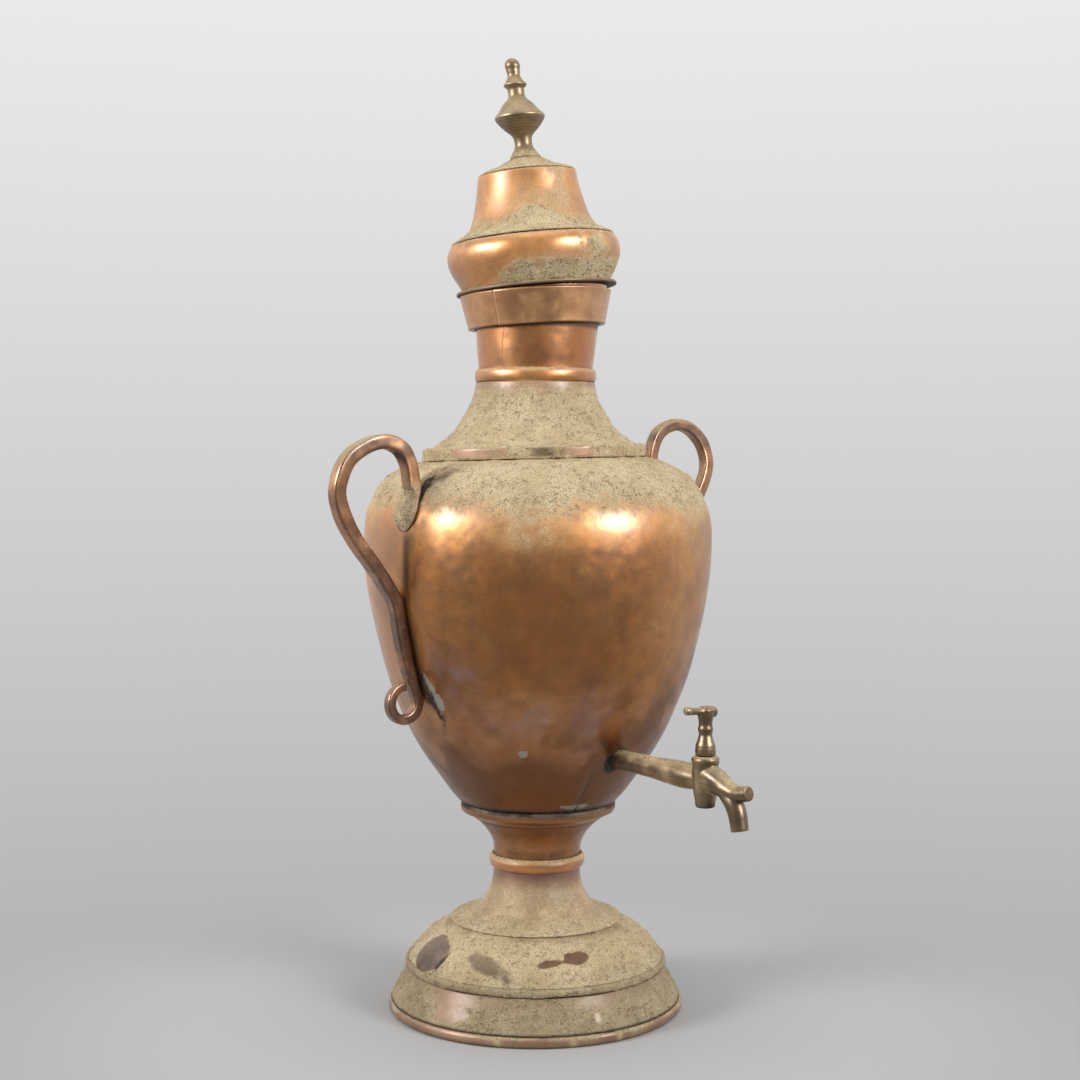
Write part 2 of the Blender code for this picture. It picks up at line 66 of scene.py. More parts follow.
LEAN = Vector((-0.766, 0.643, 0.0)).normalized()
WANDER = ((0, 2.5), (45, 2.3), (110, 1.4), (160, 0), (456, 0), (467, 3.6), (505, 2.9),
          (530, 2.2), (560, 1.5), (580, 0.9), (640, 0.0))
SLUMP = math.tan(math.radians(1.4))
SLUMP_SHARE = ((456, 0), (467, 1), (479, 1), (530, 0))
COLLAR_Z, COLLAR_LEAN = 579.0, math.radians(2.8)
HEAD_Z, HEAD_SHIFT, HEAD_LEAN = 610.8, 1.2, math.radians(4.8)
FINIAL_Z = 110.3
FINIAL_BEND = math.tan(math.radians(3.4))
TAP_REACH = 200.6
TAP_SLOPE = math.tan(math.radians(2.1))
GAP = 0.3


# ---------------------------------------------------------------- outlines
def smooth(points, steps):
    """A Catmull-Rom curve through points, which may have any number of values each."""
    ends = [tuple(2 * a - b for a, b in zip(points[0], points[1])), *points,
            tuple(2 * a - b for a, b in zip(points[-1], points[-2]))]
    curve = []
    for before, start, stop, after in zip(ends, ends[1:], ends[2:], ends[3:]):
        for step in range(steps):
            t = step / steps
            curve.append(tuple(
                0.5 * (2 * b + (c - a) * t + (2 * a - 5 * b + 4 * c - d) * t ** 2
                       + (3 * b - a - 3 * c + d) * t ** 3)
                for a, b, c, d in zip(before, start, stop, after)))
    curve.append(tuple(points[-1]))
    return curve


def resample(line, spacing):
    """Points at even steps along a line, its ends kept."""
    line = np.array(line, float)
    runs = np.linalg.norm(np.diff(line[:, :2], axis=0), axis=1)
    along = np.concatenate([[0], np.cumsum(runs)])
    count = max(int(round(along[-1] / spacing)), 2)
    at = np.linspace(0, along[-1], count + 1)
    return np.stack([np.interp(at, along, line[:, k]) for k in range(line.shape[1])], 1)


def soften(line, passes, closed=False):
    """Rounds the corners of a line by averaging each point with its neighbours."""
    line = line.copy()
    for _ in range(passes):
        before, after = np.roll(line, 1, 0), np.roll(line, -1, 0)
        moved = (before + 2 * line + after) / 4
        if not closed:
            moved[0], moved[-1] = line[0], line[-1]
        line = moved
    return line


def skin_section(outer, thickness=1.5, spacing=1.2, passes=2):
    """A sheet's closed section from its outer face, and how far each point is on the outside."""
    outer = soften(resample(outer, spacing), passes)
    along = np.gradient(outer, axis=0)
    normal = np.stack([-along[:, 1], along[:, 0]], 1)
    normal /= np.linalg.norm(normal, axis=1)[:, None]
    inner = (outer + normal * thickness)[::-1]
    keep = sorted(set(range(0, len(inner), 4)) | {0, len(inner) - 1})
    inner = inner[keep]
    return np.concatenate([outer, inner]), np.concatenate([np.ones(len(outer)),
                                                           np.zeros(len(inner))])


def solid_section(points, spacing=0.8, passes=2):
    """A solid ring's closed section with its corners rounded."""
    loop = resample(list(points) + [points[0]], spacing)[:-1]
    return soften(loop, passes, closed=True), np.ones(len(loop))


# ---------------------------------------------------------------- patterns in space
def noise(points, size, seed=0):
    """Smooth noise from 0 to 1 at an array of points, with features of that size."""
    where = points / size + seed * 11.37
    cell = np.floor(where).astype(np.int64)
    part = where - cell
    part = part * part * (3 - 2 * part)
    total = np.zeros(points.shape[:-1])
    for corner in range(8):
        step = np.array([corner & 1, corner >> 1 & 1, corner >> 2 & 1])
        at = cell + step
        mixed = (at[..., 0] * 374761393 + at[..., 1] * 668265263 + at[..., 2] * 1274126177
                 + seed * 97531)
        mixed = (mixed ^ (mixed >> 13)) * 1103515245
        value = ((mixed ^ (mixed >> 16)) & 0xFFFF) / 0xFFFF
        total += value * np.prod(np.where(step, part, 1 - part), axis=-1)
    return total


def layered(points, size, layers=3, seed=0):
    """Noise with finer layers on it, from 0 to 1."""
    total, weight = 0.0, 0.0
    for layer in range(layers):
        share = 0.5 ** layer
        total = total + share * noise(points, size * share, seed + layer)
        weight += share
    return total / weight


def ramp(value, low, high):
    t = np.clip((value - low) / (high - low), 0, 1)
    return t * t * (3 - 2 * t)


def bump(value, middle, width):
    """1 at middle, falling smoothly to 0 a few widths away."""
    return np.exp(-((value - middle) / width) ** 2)


class Skin:
    """The points of a piece while it is made. psi is the direction from the pot's front round
    its axis in degrees, positive towards the tap; up is how far a face looks upwards."""

    def __init__(self, points, normals, outside):
        self.points, self.normals, self.outside = points, normals, outside
        self.z = points[..., 2]
        self.radius = np.hypot(points[..., 0], points[..., 1])
        direction = np.degrees(np.arctan2(points[..., 1], points[..., 0]))
        self.psi = (direction - FRONT + 180) % 360 - 180
        self.up = normals[..., 2]

    def turn_from(self, psi):
        """Degrees round the axis from a direction, the short way."""
        return (self.psi - psi + 180) % 360 - 180

    def facing(self, psi, width):
        """1 at a direction round the axis, falling to 0 a few widths away."""
        return bump(self.turn_from(psi), 0, width)

    def wave(self, size, seed):
        return layered(self.points, size, 3, seed)

    def patch(self, psi, z, wide, tall, turn=0.0, ragged=0.35, grain=7.0, edge=0.18, seed=3):
        """A ragged oval mark centred at a direction and height: 1 inside, 0 outside."""
        away = np.abs(self.turn_from(psi)) * math.pi / 180 * self.radius
        far = np.where(self.outside > 0.5, np.hypot(away, self.z - z), 1e6)
        spot = np.unravel_index(np.argmin(far), far.shape)
        centre, normal = self.points[spot], self.normals[spot]
        side = np.cross([0, 0, 1], normal)
        side /= np.linalg.norm(side)
        rise = np.cross(normal, side)
        across, up = math.cos(math.radians(turn)), math.sin(math.radians(turn))
        u, v = (self.points - centre) @ side, (self.points - centre) @ rise
        u, v = u * across + v * up, v * across - u * up
        reach = np.hypot(u / wide, v / tall)
        limit = 1 + ragged * (2 * layered(self.points, grain, 2, seed) - 1)
        near = np.linalg.norm(self.points - centre, axis=-1) < 2.2 * max(wide, tall)
        return (1 - ramp(reach, limit - edge, limit + edge)) * near * self.outside


def beaten(skin):
    """The gentle waves that hammering leaves in sheet, in millimetres."""
    return 0.7 * (layered(skin.points, 38, 2) - 0.5) + 0.25 * (noise(skin.points, 11, 5) - 0.5)


def dust_lumps(points, dust):
    """Clots and grains where the dust lies thick, in millimetres."""
    grains = 0.8 * (layered(points, 3.4, 2, 7) - 0.45)
    clots = 0.8 * ramp(layered(points, 6.0, 3, 9), 0.60, 0.74)
    return (grains + clots) * np.clip(dust, 0, 1) ** 2


# ---------------------------------------------------------------- meshes
def write_mesh(name, points, faces, marks, material):
    """An object from points in millimetres, with its marks as point attributes. No relief
    stands out of the CAD's own box."""
    mesh = bpy.data.meshes.new(name)
    mesh.from_pydata(np.clip(points * MM, *cad_box).tolist(), [], faces)
    mesh.shade_smooth()
    mesh.materials.append(material)
    made = bpy.data.objects.new(name, mesh)
    bpy.context.scene.collection.objects.link(made)
    add_marks(mesh, marks)
    return made


def add_marks(mesh, marks):
    for mark in ("dust", "film", "rub", "grime", "solder", "bloom", "warm", "shade"):
        values = np.clip(np.broadcast_to(marks.get(mark, 0.0), len(mesh.vertices)), 0, 1)
        attribute = mesh.attributes.new(mark, "FLOAT", "POINT")
        attribute.data.foreach_set("value", values.astype(np.float32))


def torus_faces(rows, columns, ends=False):
    """Quads of a grid that closes round its columns, and round its rows unless it has ends."""
    row = np.arange(rows - 1 if ends else rows)[:, None]
    column = np.arange(columns)[None, :]
    below, after = (row + 1) % rows, (column + 1) % columns
    corners = [row * columns + column, row * columns + after,
               below * columns + after, below * columns + column]
    grid = np.stack([np.broadcast_to(c, (len(row), columns)) for c in corners], -1)
    return grid.reshape(-1, 4).tolist()


def settle(points):
    """Moves points of the pot as it has sagged: see WANDER and SLUMP."""
    side = points @ np.array(LEAN)
    height = points[..., 2]
    drift = np.interp(height, *np.array(WANDER).T)
    sag = SLUMP * side * np.interp(height, *np.array(SLUMP_SHARE).T)
    moved = points + drift[..., None] * np.array(LEAN)
    moved[..., 2] -= sag
    return moved + np.array(AXIS)


def leaning(height, shift, angle):
    """The place of a group of pieces on a leaning axis, as a function of points."""
    turn = Matrix.Rotation(angle, 3, Vector((0, 0, 1)).cross(LEAN))
    spot = np.array(Vector((AXIS.x, AXIS.y, height)) + LEAN * shift)
    return lambda points: points @ np.array(turn).T + spot


in_collar = leaning(COLLAR_Z, float(np.interp(COLLAR_Z, *np.array(WANDER).T)), COLLAR_LEAN)
in_head = leaning(HEAD_Z, HEAD_SHIFT, HEAD_LEAN)


def finish_piece(made, node, body):
    """Puts a piece on its body, in its CAD node's place, and hides that node."""
    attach(made, body)
    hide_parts(node)


def turn_piece(node, section, count, material, body="pot", place=settle, relief=None,
               cover=None):
    """Turns a section about the pot's axis. relief gives how far each point is pushed out and
    cover the marks on the finished skin."""
    outline, outside = section
    along = np.roll(outline, -1, 0) - np.roll(outline, 1, 0)
    flat = np.stack([along[:, 1], -along[:, 0]], 1)
    flat /= np.maximum(np.linalg.norm(flat, axis=1), 1e-9)[:, None]
    angle = np.arange(count) * 2 * math.pi / count
    wheel = np.stack([np.cos(angle), np.sin(angle)], 1)
    points = np.concatenate([outline[:, None, :1] * wheel[None],
                             np.broadcast_to(outline[:, None, 1:], (len(outline), count, 1))], -1)
    normals = np.concatenate([flat[:, None, :1] * wheel[None],
                              np.broadcast_to(flat[:, None, 1:], (len(outline), count, 1))], -1)
    skin = Skin(points, normals, np.broadcast_to(outside[:, None], points.shape[:2]))
    marks = cover(skin) if cover else {}
    raised = (relief or beaten)(skin) + dust_lumps(points, marks.get("dust", 0))
    points = points + normals * (raised * skin.outside)[..., None]
    marks = {key: (value * skin.outside).ravel() for key, value in marks.items()}
    made = write_mesh(node + "_fine", place(points).reshape(-1, 3),
                      torus_faces(len(outline), count), marks, material)
    finish_piece(made, node, body)


# ---------------------------------------------------------------- materials
def tone(red, green, blue):
    """A colour from its values as seen on a screen, from 0 to 255."""
    def linear(value):
        value /= 255
        return value / 12.92 if value <= 0.04045 else ((value + 0.055) / 1.055) ** 2.4
    return linear(red), linear(green), linear(blue), 1.0


class Graph:
    """Short names for making a material's nodes. A value may be a number or another's output."""

    def __init__(self, name):
        self.material = bpy.data.materials.new(name)
        self.material.use_nodes = True
        self.tree = self.material.node_tree
        self.shader = self.tree.nodes["Principled BSDF"]
        self.place = self.make("ShaderNodeTexCoord").outputs["Object"]

    def make(self, kind, **settings):
        node = self.tree.nodes.new(kind)
        for key, value in settings.items():
            setattr(node, key, value)
        return node

    def feed(self, socket, value):
        if isinstance(value, bpy.types.NodeSocket):
            self.tree.links.new(value, socket)
        else:
            socket.default_value = value

    def math(self, operation, *values, clamp=False):
        node = self.make("ShaderNodeMath", operation=operation, use_clamp=clamp)
        for socket, value in zip(node.inputs, values):
            self.feed(socket, value)
        return node.outputs[0]

    def plus(self, first, second):
        return self.math("ADD", first, second)

    def minus(self, first, second):
        return self.math("SUBTRACT", first, second)

    def times(self, first, *others):
        for other in others:
            first = self.math("MULTIPLY", first, other)
        return first

    def most(self, first, second):
        return self.math("MAXIMUM", first, second)

    def noise(self, size, detail=3.0, roughness=0.55, stretch=None, turn=(0, 0, 0), warp=0.0):
        """Noise with features of a size in millimetres; stretch scales it along each axis."""
        node = self.make("ShaderNodeTexNoise")
        node.inputs["Scale"].default_value = 1 / (size * MM)
        node.inputs["Detail"].default_value = detail
        node.inputs["Roughness"].default_value = roughness
        node.inputs["Distortion"].default_value = warp
        self.feed(node.inputs["Vector"], self.stretched(stretch, turn))
        return node.outputs["Fac"]

    def cells(self, size, feature="F1", smoothness=None):
        node = self.make("ShaderNodeTexVoronoi", feature=feature)
        node.inputs["Scale"].default_value = 1 / (size * MM)
        if smoothness is not None:
            node.inputs["Smoothness"].default_value = smoothness
        self.feed(node.inputs["Vector"], self.place)
        return node

    def stretched(self, stretch, turn):
        if stretch is None:
            return self.place
        node = self.make("ShaderNodeMapping")
        node.inputs["Rotation"].default_value = turn
        node.inputs["Scale"].default_value = stretch
        self.feed(node.inputs["Vector"], self.place)
        return node.outputs["Vector"]

    def step(self, value, low, high, start=0.0, stop=1.0):
        """Value from start to stop, smoothly, as it goes from low to high."""
        node = self.make("ShaderNodeMapRange", interpolation_type="SMOOTHSTEP")
        for socket, number in zip(node.inputs, (value, low, high, start, stop)):
            self.feed(socket, number)
        return node.outputs["Result"]

    def mix(self, share, first, second):
        """A colour between two."""
        node = self.make("ShaderNodeMix", data_type="RGBA")
        self.feed(node.inputs[0], share)
        self.feed(node.inputs[6], first)
        self.feed(node.inputs[7], second)
        return node.outputs[2]

    def blend(self, share, first, second):
        """A number between two."""
        node = self.make("ShaderNodeMix", data_type="FLOAT")
        self.feed(node.inputs[0], share)
        self.feed(node.inputs[2], first)
        self.feed(node.inputs[3], second)
        return node.outputs[0]

    def mark(self, name):
        return self.make("ShaderNodeAttribute", attribute_name=name).outputs["Fac"]

    def raised(self, height, depth, strength=1.0, under=None):
        """A bump of that depth in millimetres."""
        node = self.make("ShaderNodeBump")
        node.inputs["Strength"].default_value = strength
        node.inputs["Distance"].default_value = depth * MM
        self.feed(node.inputs["Height"], height)
        if under is not None:
            self.feed(node.inputs["Normal"], under)
        return node.outputs["Normal"]


def old_metal(name, dark, middle, light, stain, stain_share=0.6, gloss=0.26, hammer=0.14,
              speck=0.5, coat=0.9):
    """Aged metal: mottled colour under stains, hammer marks, worn and tinned places, grime, a film
    of dust, and a crumbly coat of it where the piece's marks say. Some marks also paint light: the
    grime mark paints shade under pieces, in creases and over the dimmer foot as well as real grime,
    the wear mark paints highlights on the foot rim and shoulder ring, the shade mark paints shade,
    and the dust is painted darker in its hollows."""
    g = Graph(name)
    broad, blots = g.noise(85, 3, 0.55), g.noise(21, 4, 0.6, warp=0.4)
    fine, grain = g.noise(3.2, 4, 0.65), g.noise(0.9, 3, 0.6)

    metal = g.mix(g.step(g.plus(g.times(broad, 0.6), g.times(blots, 0.4)), 0.34, 0.62),
                  dark, middle)
    metal = g.mix(g.step(g.noise(48, 4, 0.6, warp=0.5), 0.46, 0.74, 0, 0.75), metal, light)
    stains = g.step(g.noise(37, 5, 0.68, warp=0.7), 0.47, 0.72)
    metal = g.mix(g.times(stains, stain_share), metal, stain)
    specks = g.step(g.cells(9.0).outputs["Distance"], 0.06, 0.20, 1, 0)
    metal = g.mix(g.times(specks, g.step(g.noise(14, 2), 0.52, 0.62, 0, speck)), metal, dark)
    strokes = g.noise(5, 3, 0.6, stretch=(0.45, 0.45, 1.8))
    metal = g.mix(g.step(g.plus(g.times(fine, 0.5), g.times(strokes, 0.5)), 0.35, 0.75, 0, 0.5),
                  metal, dark)

    # wear, and painted highlight where a piece's marks put it: the copper is lightened
    rub = g.step(g.plus(g.mark("rub"), g.times(blots, 0.35)), 0.30, 1.15)
    metal = g.mix(rub, metal, light)
    metal = g.mix(g.times(g.mark("bloom"), g.step(blots, 0.35, 0.65, 0.1, 0.85)), metal, BLOOM)
    metal = g.mix(g.times(g.mark("warm"), 0.7), metal, WARM)
    # painted shade: the copper is darkened where the shade mark says, mostly low on the pot; on the
    # dome's chips and the body's blotches the same mark gives a darker tone of their own
    metal = g.mix(g.times(g.mark("shade"), 0.9), metal, SHADE)
    solder = g.step(g.plus(g.mark("solder"), g.times(fine, 0.25)), 0.45, 0.75)
    metal = g.mix(solder, metal, g.mix(fine, *SOLDER))
    # grime, and painted shade: darker under pieces, in creases and over the foot, which lies in
    # dimmer light
    grime = g.step(g.plus(g.mark("grime"), g.times(blots, 0.25)), 0.2, 1.15)
    metal = g.mix(grime, metal, g.mix(g.step(fine, 0.4, 0.6), *GRIME_AND_SHADE))

    # dust: a smooth film, and over it grains that close up into a crumbly coat
    dust = g.mark("dust")
    streaks = g.noise(2.4, 3, 0.6, stretch=(1, 1, 0.12), turn=(0.5, 0.45, 0))
    lumps = g.plus(g.times(g.minus(grain, 0.5), 0.8),
                   g.plus(g.times(g.minus(fine, 0.5), 0.9), g.times(g.minus(streaks, 0.5), 0.9)))
    coat_share = g.step(g.plus(dust, lumps), 0.34, 0.74)
    film = g.times(g.step(g.plus(dust, g.mark("film")), 0.0, 1.0, 0.0, 0.88),
                   g.step(g.plus(blots, streaks), 0.6, 1.2, 0.65, 1.0))
    cover = g.most(coat_share, film)

    crumbs, crust = g.cells(1.9), g.cells(5.5)
    crevice = g.times(g.step(crumbs.outputs["Distance"], 0.45, 0.90),
                      g.step(g.noise(6, 3), 0.44, 0.62))
    cracks = g.times(g.step(crust.outputs["Distance"], 0.66, 0.86),
                     g.step(g.noise(28, 3), 0.50, 0.62))
    hollows = g.most(crevice, cracks)
    powder = g.mix(g.step(g.noise(26, 3), 0.35, 0.65), *POWDER)
    # painted shade: the dust is darker between its grains and in its hollows and cracks, where its
    # relief is low
    powder = g.mix(g.step(grain, 0.36, 0.60), POWDER_GRAIN_SHADE, powder)
    powder = g.mix(g.times(hollows, 0.42), powder, POWDER_HOLLOW_SHADE)
    powder = g.mix(grime, powder, POWDER_GRIME_AND_SHADE)

    g.feed(g.shader.inputs["Base Color"], g.mix(cover, metal, powder))
    bare = g.math("SUBTRACT", 1.0, cover, clamp=True)
    dull = g.most(grime, g.times(solder, 0.75))
    g.feed(g.shader.inputs["Metallic"], g.times(bare, 0.92, g.minus(1.0, g.times(dull, 0.8))))
    rough = g.blend(g.step(g.noise(16, 4, 0.6), 0.3, 0.7), gloss, gloss + 0.10)
    rough = g.plus(rough, g.times(g.minus(grain, 0.5), 0.06))
    rough = g.blend(dull, rough, 0.72)
    g.feed(g.shader.inputs["Roughness"], g.blend(cover, rough, 0.96))
    g.shader.inputs["Coat Roughness"].default_value = 0.33
    g.shader.inputs["Coat IOR"].default_value = 2.0
    bright = g.minus(1.0, g.most(dull, g.times(g.mark("shade"), 0.75)))
    g.feed(g.shader.inputs["Coat Weight"], g.times(g.math("POWER", bare, 1.5), bright, coat))

    facets = g.cells(11.0, "SMOOTH_F1", 0.7).outputs["Distance"]
    scratches = g.noise(0.7, 3, 0.7, stretch=(1, 1, 0.06), turn=(0.35, 0.2, 0))
    normal = g.raised(g.plus(facets, g.times(g.noise(26, 2), 1.3)), hammer * 2.4)
    normal = g.raised(g.times(g.plus(scratches, fine), bare), 0.03, under=normal)
    gritty = g.minus(g.plus(g.times(grain, 0.9), fine), g.plus(g.times(hollows, 1.1), 0.85))
    normal = g.raised(g.times(gritty, coat_share), 0.95, under=normal)
    g.feed(g.shader.inputs["Normal"], normal)
    return g.material


BLOOM, WARM, SHADE = tone(190, 158, 168), tone(208, 118, 38), tone(104, 64, 38)
SOLDER = tone(126, 121, 112), tone(178, 173, 162)
GRIME_AND_SHADE = tone(34, 27, 20), tone(74, 66, 52)
POWDER = tone(200, 180, 142), tone(220, 202, 165)
POWDER_GRAIN_SHADE, POWDER_HOLLOW_SHADE = tone(168, 147, 110), tone(118, 96, 66)
POWDER_GRIME_AND_SHADE = tone(66, 56, 42)
PURPLE = tone(172, 122, 92)
BODY_COPPER = old_metal("body_copper", tone(180, 110, 42), tone(232, 146, 46),
                        tone(242, 172, 84), PURPLE, 0.42)
NECK_COPPER = old_metal("neck_copper", tone(180, 112, 48), tone(232, 146, 56),
                        tone(242, 172, 94), PURPLE, 0.32)
SATIN_COPPER = old_metal("satin_copper", tone(194, 130, 76), tone(222, 156, 92),
                         tone(238, 182, 124), PURPLE, 0.2, gloss=0.28, hammer=0.04, speck=0.2)
FOOT_COPPER = old_metal("foot_copper", tone(124, 82, 60), tone(164, 108, 78),
                        tone(192, 134, 104), tone(138, 114, 104), 0.4, gloss=0.38)
BAR_COPPER = old_metal("bar_copper", tone(108, 70, 44), tone(170, 108, 66),
                       tone(208, 144, 86), PURPLE, 0.3, gloss=0.28, hammer=0.05)
OLD_BRASS = old_metal("old_brass", tone(94, 74, 48), tone(154, 126, 86),
                      tone(202, 172, 128), tone(126, 96, 66), 0.45, gloss=0.34, hammer=0.03,
                      speck=0.3, coat=0.5)
TINNED = old_metal("tinned_copper", tone(80, 60, 44), tone(116, 88, 62),
                   tone(150, 122, 94), tone(106, 86, 64), 0.4, gloss=0.48, hammer=0.04)


# ---------------------------------------------------------------- the foot and the stem
def rim_cover(skin):
    wave = skin.wave(14, 21)
    dust = ramp(skin.z + 7 * (wave - 0.5), 5.5, 9.5) * 0.8
    for psi in (-14, 14, 33):
        dust = np.maximum(dust, bump(skin.turn_from(psi), 0, 1.3) * 0.7)
    # painted highlight: on the side where the left lamp's highlight falls, the rim is lightened,
    # kept freer of dust and left out of the painted shade
    painted_highlight = skin.facing(-32, 18) * ramp(skin.z, 2, 5)
    return {"dust": dust * (1 - 0.7 * painted_highlight), "rub": painted_highlight * 0.6, "film": 0.25 + 0.3 * wave,
            # the even part of this darkening and the shade are painted shade, the foot lying in
            # dimmer light; the rim's edges get grime
            "grime": ramp(skin.z, 8.4, 9.2) * 0.5 + 0.3 * ramp(skin.z, 3, 0) + 0.30,
            "shade": 0.4 * (1 - painted_highlight)}


def skirt_cover(skin):
    wave = skin.wave(16, 22)
    # bright picks the two directions where the lamps' highlights fall; the bare copper is widened
    # there and warmed: partly real bare copper, partly painted highlight
    bright = skin.facing(-36, 17) + 0.75 * skin.facing(28, 13)
    bare_edge = 28 + 6 * (wave - 0.5) - 4 * bright
    bare = ramp(skin.z, bare_edge - 5, bare_edge + 4) * (0.50 + 0.5 * np.clip(bright, 0, 1))
    bare = np.maximum(bare, 0.95 * skin.patch(-35, 20, 18, 9, ragged=0.5, edge=0.3))
    bare = np.maximum(bare, skin.patch(25, 20, 4, 5.5, ragged=0.5, edge=0.3))
    bare = np.maximum(bare, 0.6 * skin.patch(-2, 23, 12, 3.0, ragged=0.6, edge=0.4))
    dust = 0.98 - 0.82 * bare + 0.25 * (wave - 0.5)
    shown = np.clip(bare * bright, 0, 1)
    return {"dust": dust, "film": 0.62 - 0.42 * shown,
            # the even part of this darkening is painted shade, the foot lying in dimmer light
            "grime": 0.5 * ramp(skin.z, 11.2, 9.8) + 0.48 - 0.18 * shown,
            "shade": 0.75 * shown, "warm": 0.3 * shown}


def step_cover(skin):
    wave = skin.wave(12, 23)
    worn = skin.patch(-72, 40, 16, 6, ragged=0.5)
    return {"dust": np.clip(0.92 - 0.8 * worn + 0.3 * (wave - 0.5), 0, 1),
            # the even part of this darkening is painted shade, the foot lying in dimmer light; the
            # lower edge gets grime
            "film": 0.5, "grime": 0.25 * ramp(skin.z, 38.0, 36.8) + 0.46}


def dome_cover(skin):
    wave = skin.wave(18, 24)
    dust = 0.94 + 0.2 * (wave - 0.5)
    scraped = skin.patch(-61, 57, 22, 18, ragged=0.3, grain=11, edge=0.08)
    streak = skin.patch(-24, 57, 21, 7, turn=-20, ragged=0.4, edge=0.35)
    chips = np.maximum(skin.patch(8, 60.5, 13, 3.4, turn=8, ragged=0.6, edge=0.15),
                       skin.patch(21, 63.5, 11, 6.0, turn=6, ragged=0.6, edge=0.15))
    collar = bump(skin.radius, 74.5, 4.0) * ramp(wave, 0.25, 0.6)
    line = skin.patch(-50, 52, 2.0, 10, turn=-20, ragged=0.8, edge=0.6)
    dust = dust * (1 - 0.97 * scraped) * (1 - 0.75 * streak) * (1 - 0.95 * chips)
    dust = dust * (1 - 0.5 * collar)
    return {"dust": dust, "film": 0.22 * scraped + 0.62 * streak + 0.25 * chips + 0.5 * collar,
            "grime": 0.42 * scraped + 0.35 * chips + 0.5 * streak + 0.2 * collar + 0.7 * line
            + 0.2 * ramp(skin.z, 60, 48) + 0.1 * ramp(wave, 0.45, 0.7) + 0.06,
            "solder": 0.42 * scraped, "shade": 0.9 * chips, "warm": 0.3 * chips}


def cone_cover(skin):
    wave = skin.wave(20, 25)
    dust = 0.92 * ramp(skin.z + 9 * (wave - 0.5), 92, 79)
    film = 1.0 - 0.9 * ramp(skin.z + 4 * (wave - 0.5), 98, 122)
    return {"dust": dust, "film": film,
            "rub": 0.3 * ramp(wave, 0.45, 0.7) * ramp(skin.z, 100, 115)}


def bead_cover(low, high):
    """A bead with dust lying along its top."""
    def cover(skin):
        wave = skin.wave(12, 26)
        dust = ramp(skin.up + 0.5 * (wave - 0.5), 0.1, 0.8) * 0.62
        film = 0.28 + 0.65 * ramp(skin.up + 0.4 * (wave - 0.5), 0.0, 0.8)
        return {"dust": dust, "film": film, "rub": bump(skin.z, (low + high) / 2, 2.2) * 0.3,
                "grime": np.maximum(ramp(skin.z, low + 1.5, low), ramp(skin.z, high - 1.2, high))
                * 0.5}
    return cover


def cup_cover(skin):
    wave = skin.wave(9, 27)
    return {"rub": 0.45 * ramp(wave, 0.5, 0.68), "film": 0.12 * wave,
            "shade": 0.55 + 0.30 * ramp(skin.z, 140, 156),
            "grime": 0.45 * ramp(skin.z, 137, 133) + 0.25 * ramp(skin.z, 146, 156)}


def seat_cover(skin):
    wave = skin.wave(11, 28)
    top = ramp(skin.z, 170.5, 175.5)
    right = skin.facing(28, 26) + 0.6 * skin.facing(-45, 18)
    solder = top * ramp(wave + 0.25 * right, 0.52, 0.70)
    return {"solder": 0.55 * solder, "film": 0.2 + 0.3 * wave * ramp(skin.up, 0, 0.6),
            "grime": 0.75 * top * (1 - 0.4 * solder) + 0.5 * ramp(skin.z, 164, 162) + 0.25,
            "shade": 0.7}


def rim_relief(skin):
    """Hammered on its outside only, so that it stands flat."""
    return beaten(skin) * ramp(skin.z, 0.8, 3.0)


def foot_relief(skin):
    """The foot's thin sheet has been knocked about more than the body."""
    return beaten(skin) + 0.9 * (layered(skin.points, 60, 2, 31) - 0.5)


rim = solid_section([(118.4, 0), (123.4, 0), (125.3, 2.4), (125.3, 6.6), (123.4, 9.2),
                     (118.4, 9.2)])
skirt = skin_section(smooth([(123.2, 9.2 + GAP), (119.4, 18), (113.4, 29),
                             (109.4, 36.7 - GAP)], 8))
step = solid_section([(106.2, 36.7), (110.2, 36.7), (111.4, 38.3), (111.4, 41.7), (110, 43.2),
                      (106.2, 43.2)])
dome = skin_section(smooth([(108.6, 43.5), (103.3, 51), (96.8, 58.5), (88.3, 65.5), (78.5, 71.5),
                            (71, 75.4), (62, 76)], 6))
turn_piece("foot_rim", rim, 560, FOOT_COPPER, cover=rim_cover, relief=rim_relief)
turn_piece("foot_skirt", skirt, 560, FOOT_COPPER, cover=skirt_cover,
           relief=foot_relief)
turn_piece("foot_step", step, 520, FOOT_COPPER, cover=step_cover,
           relief=foot_relief)
turn_piece("foot_dome", dome, 520, FOOT_COPPER, cover=dome_cover,
           relief=foot_relief)

cone = skin_section([(72.8, 76.3), (72.8, 77.2)]
                    + smooth([(70, 78.2), (54, 84.8), (46.8, 90.5), (41.8, 98), (38.3, 107),
                              (37, 117), (37, 125.85)], 6))
turn_piece("stem_cone", cone, 300, FOOT_COPPER, cover=cone_cover)
STEM_BEAD = ((0, -6), (1.8, -5.2), (3.2, -2.4), (3.4, 0), (3.2, 2.4), (1.8, 5.2), (0, 6))
bead = solid_section(smooth([(37.3 + bulge, 126 + rise) for bulge, rise in STEM_BEAD], 4))
turn_piece("stem_bead", bead, 260, NECK_COPPER, cover=bead_cover(120, 132))
cup = skin_section([(37, 126.15)] + smooth([(37, 133), (38, 141.5), (43.4, 151.8),
                                            (52.2, 161.7 - GAP)], 6))
turn_piece("stem_cup", cup, 260, NECK_COPPER, cover=cup_cover)
seat = solid_section([(49.6, 161.7), (53.6, 161.7), (57.5, 165.2), (61.5, 166.9), (65, 168.6),
                      (66.1, 171), (65.7, 175), (64.4, 176.8), (56, 176.8)])
turn_piece("seat_ring", seat, 360, NECK_COPPER, cover=seat_cover)


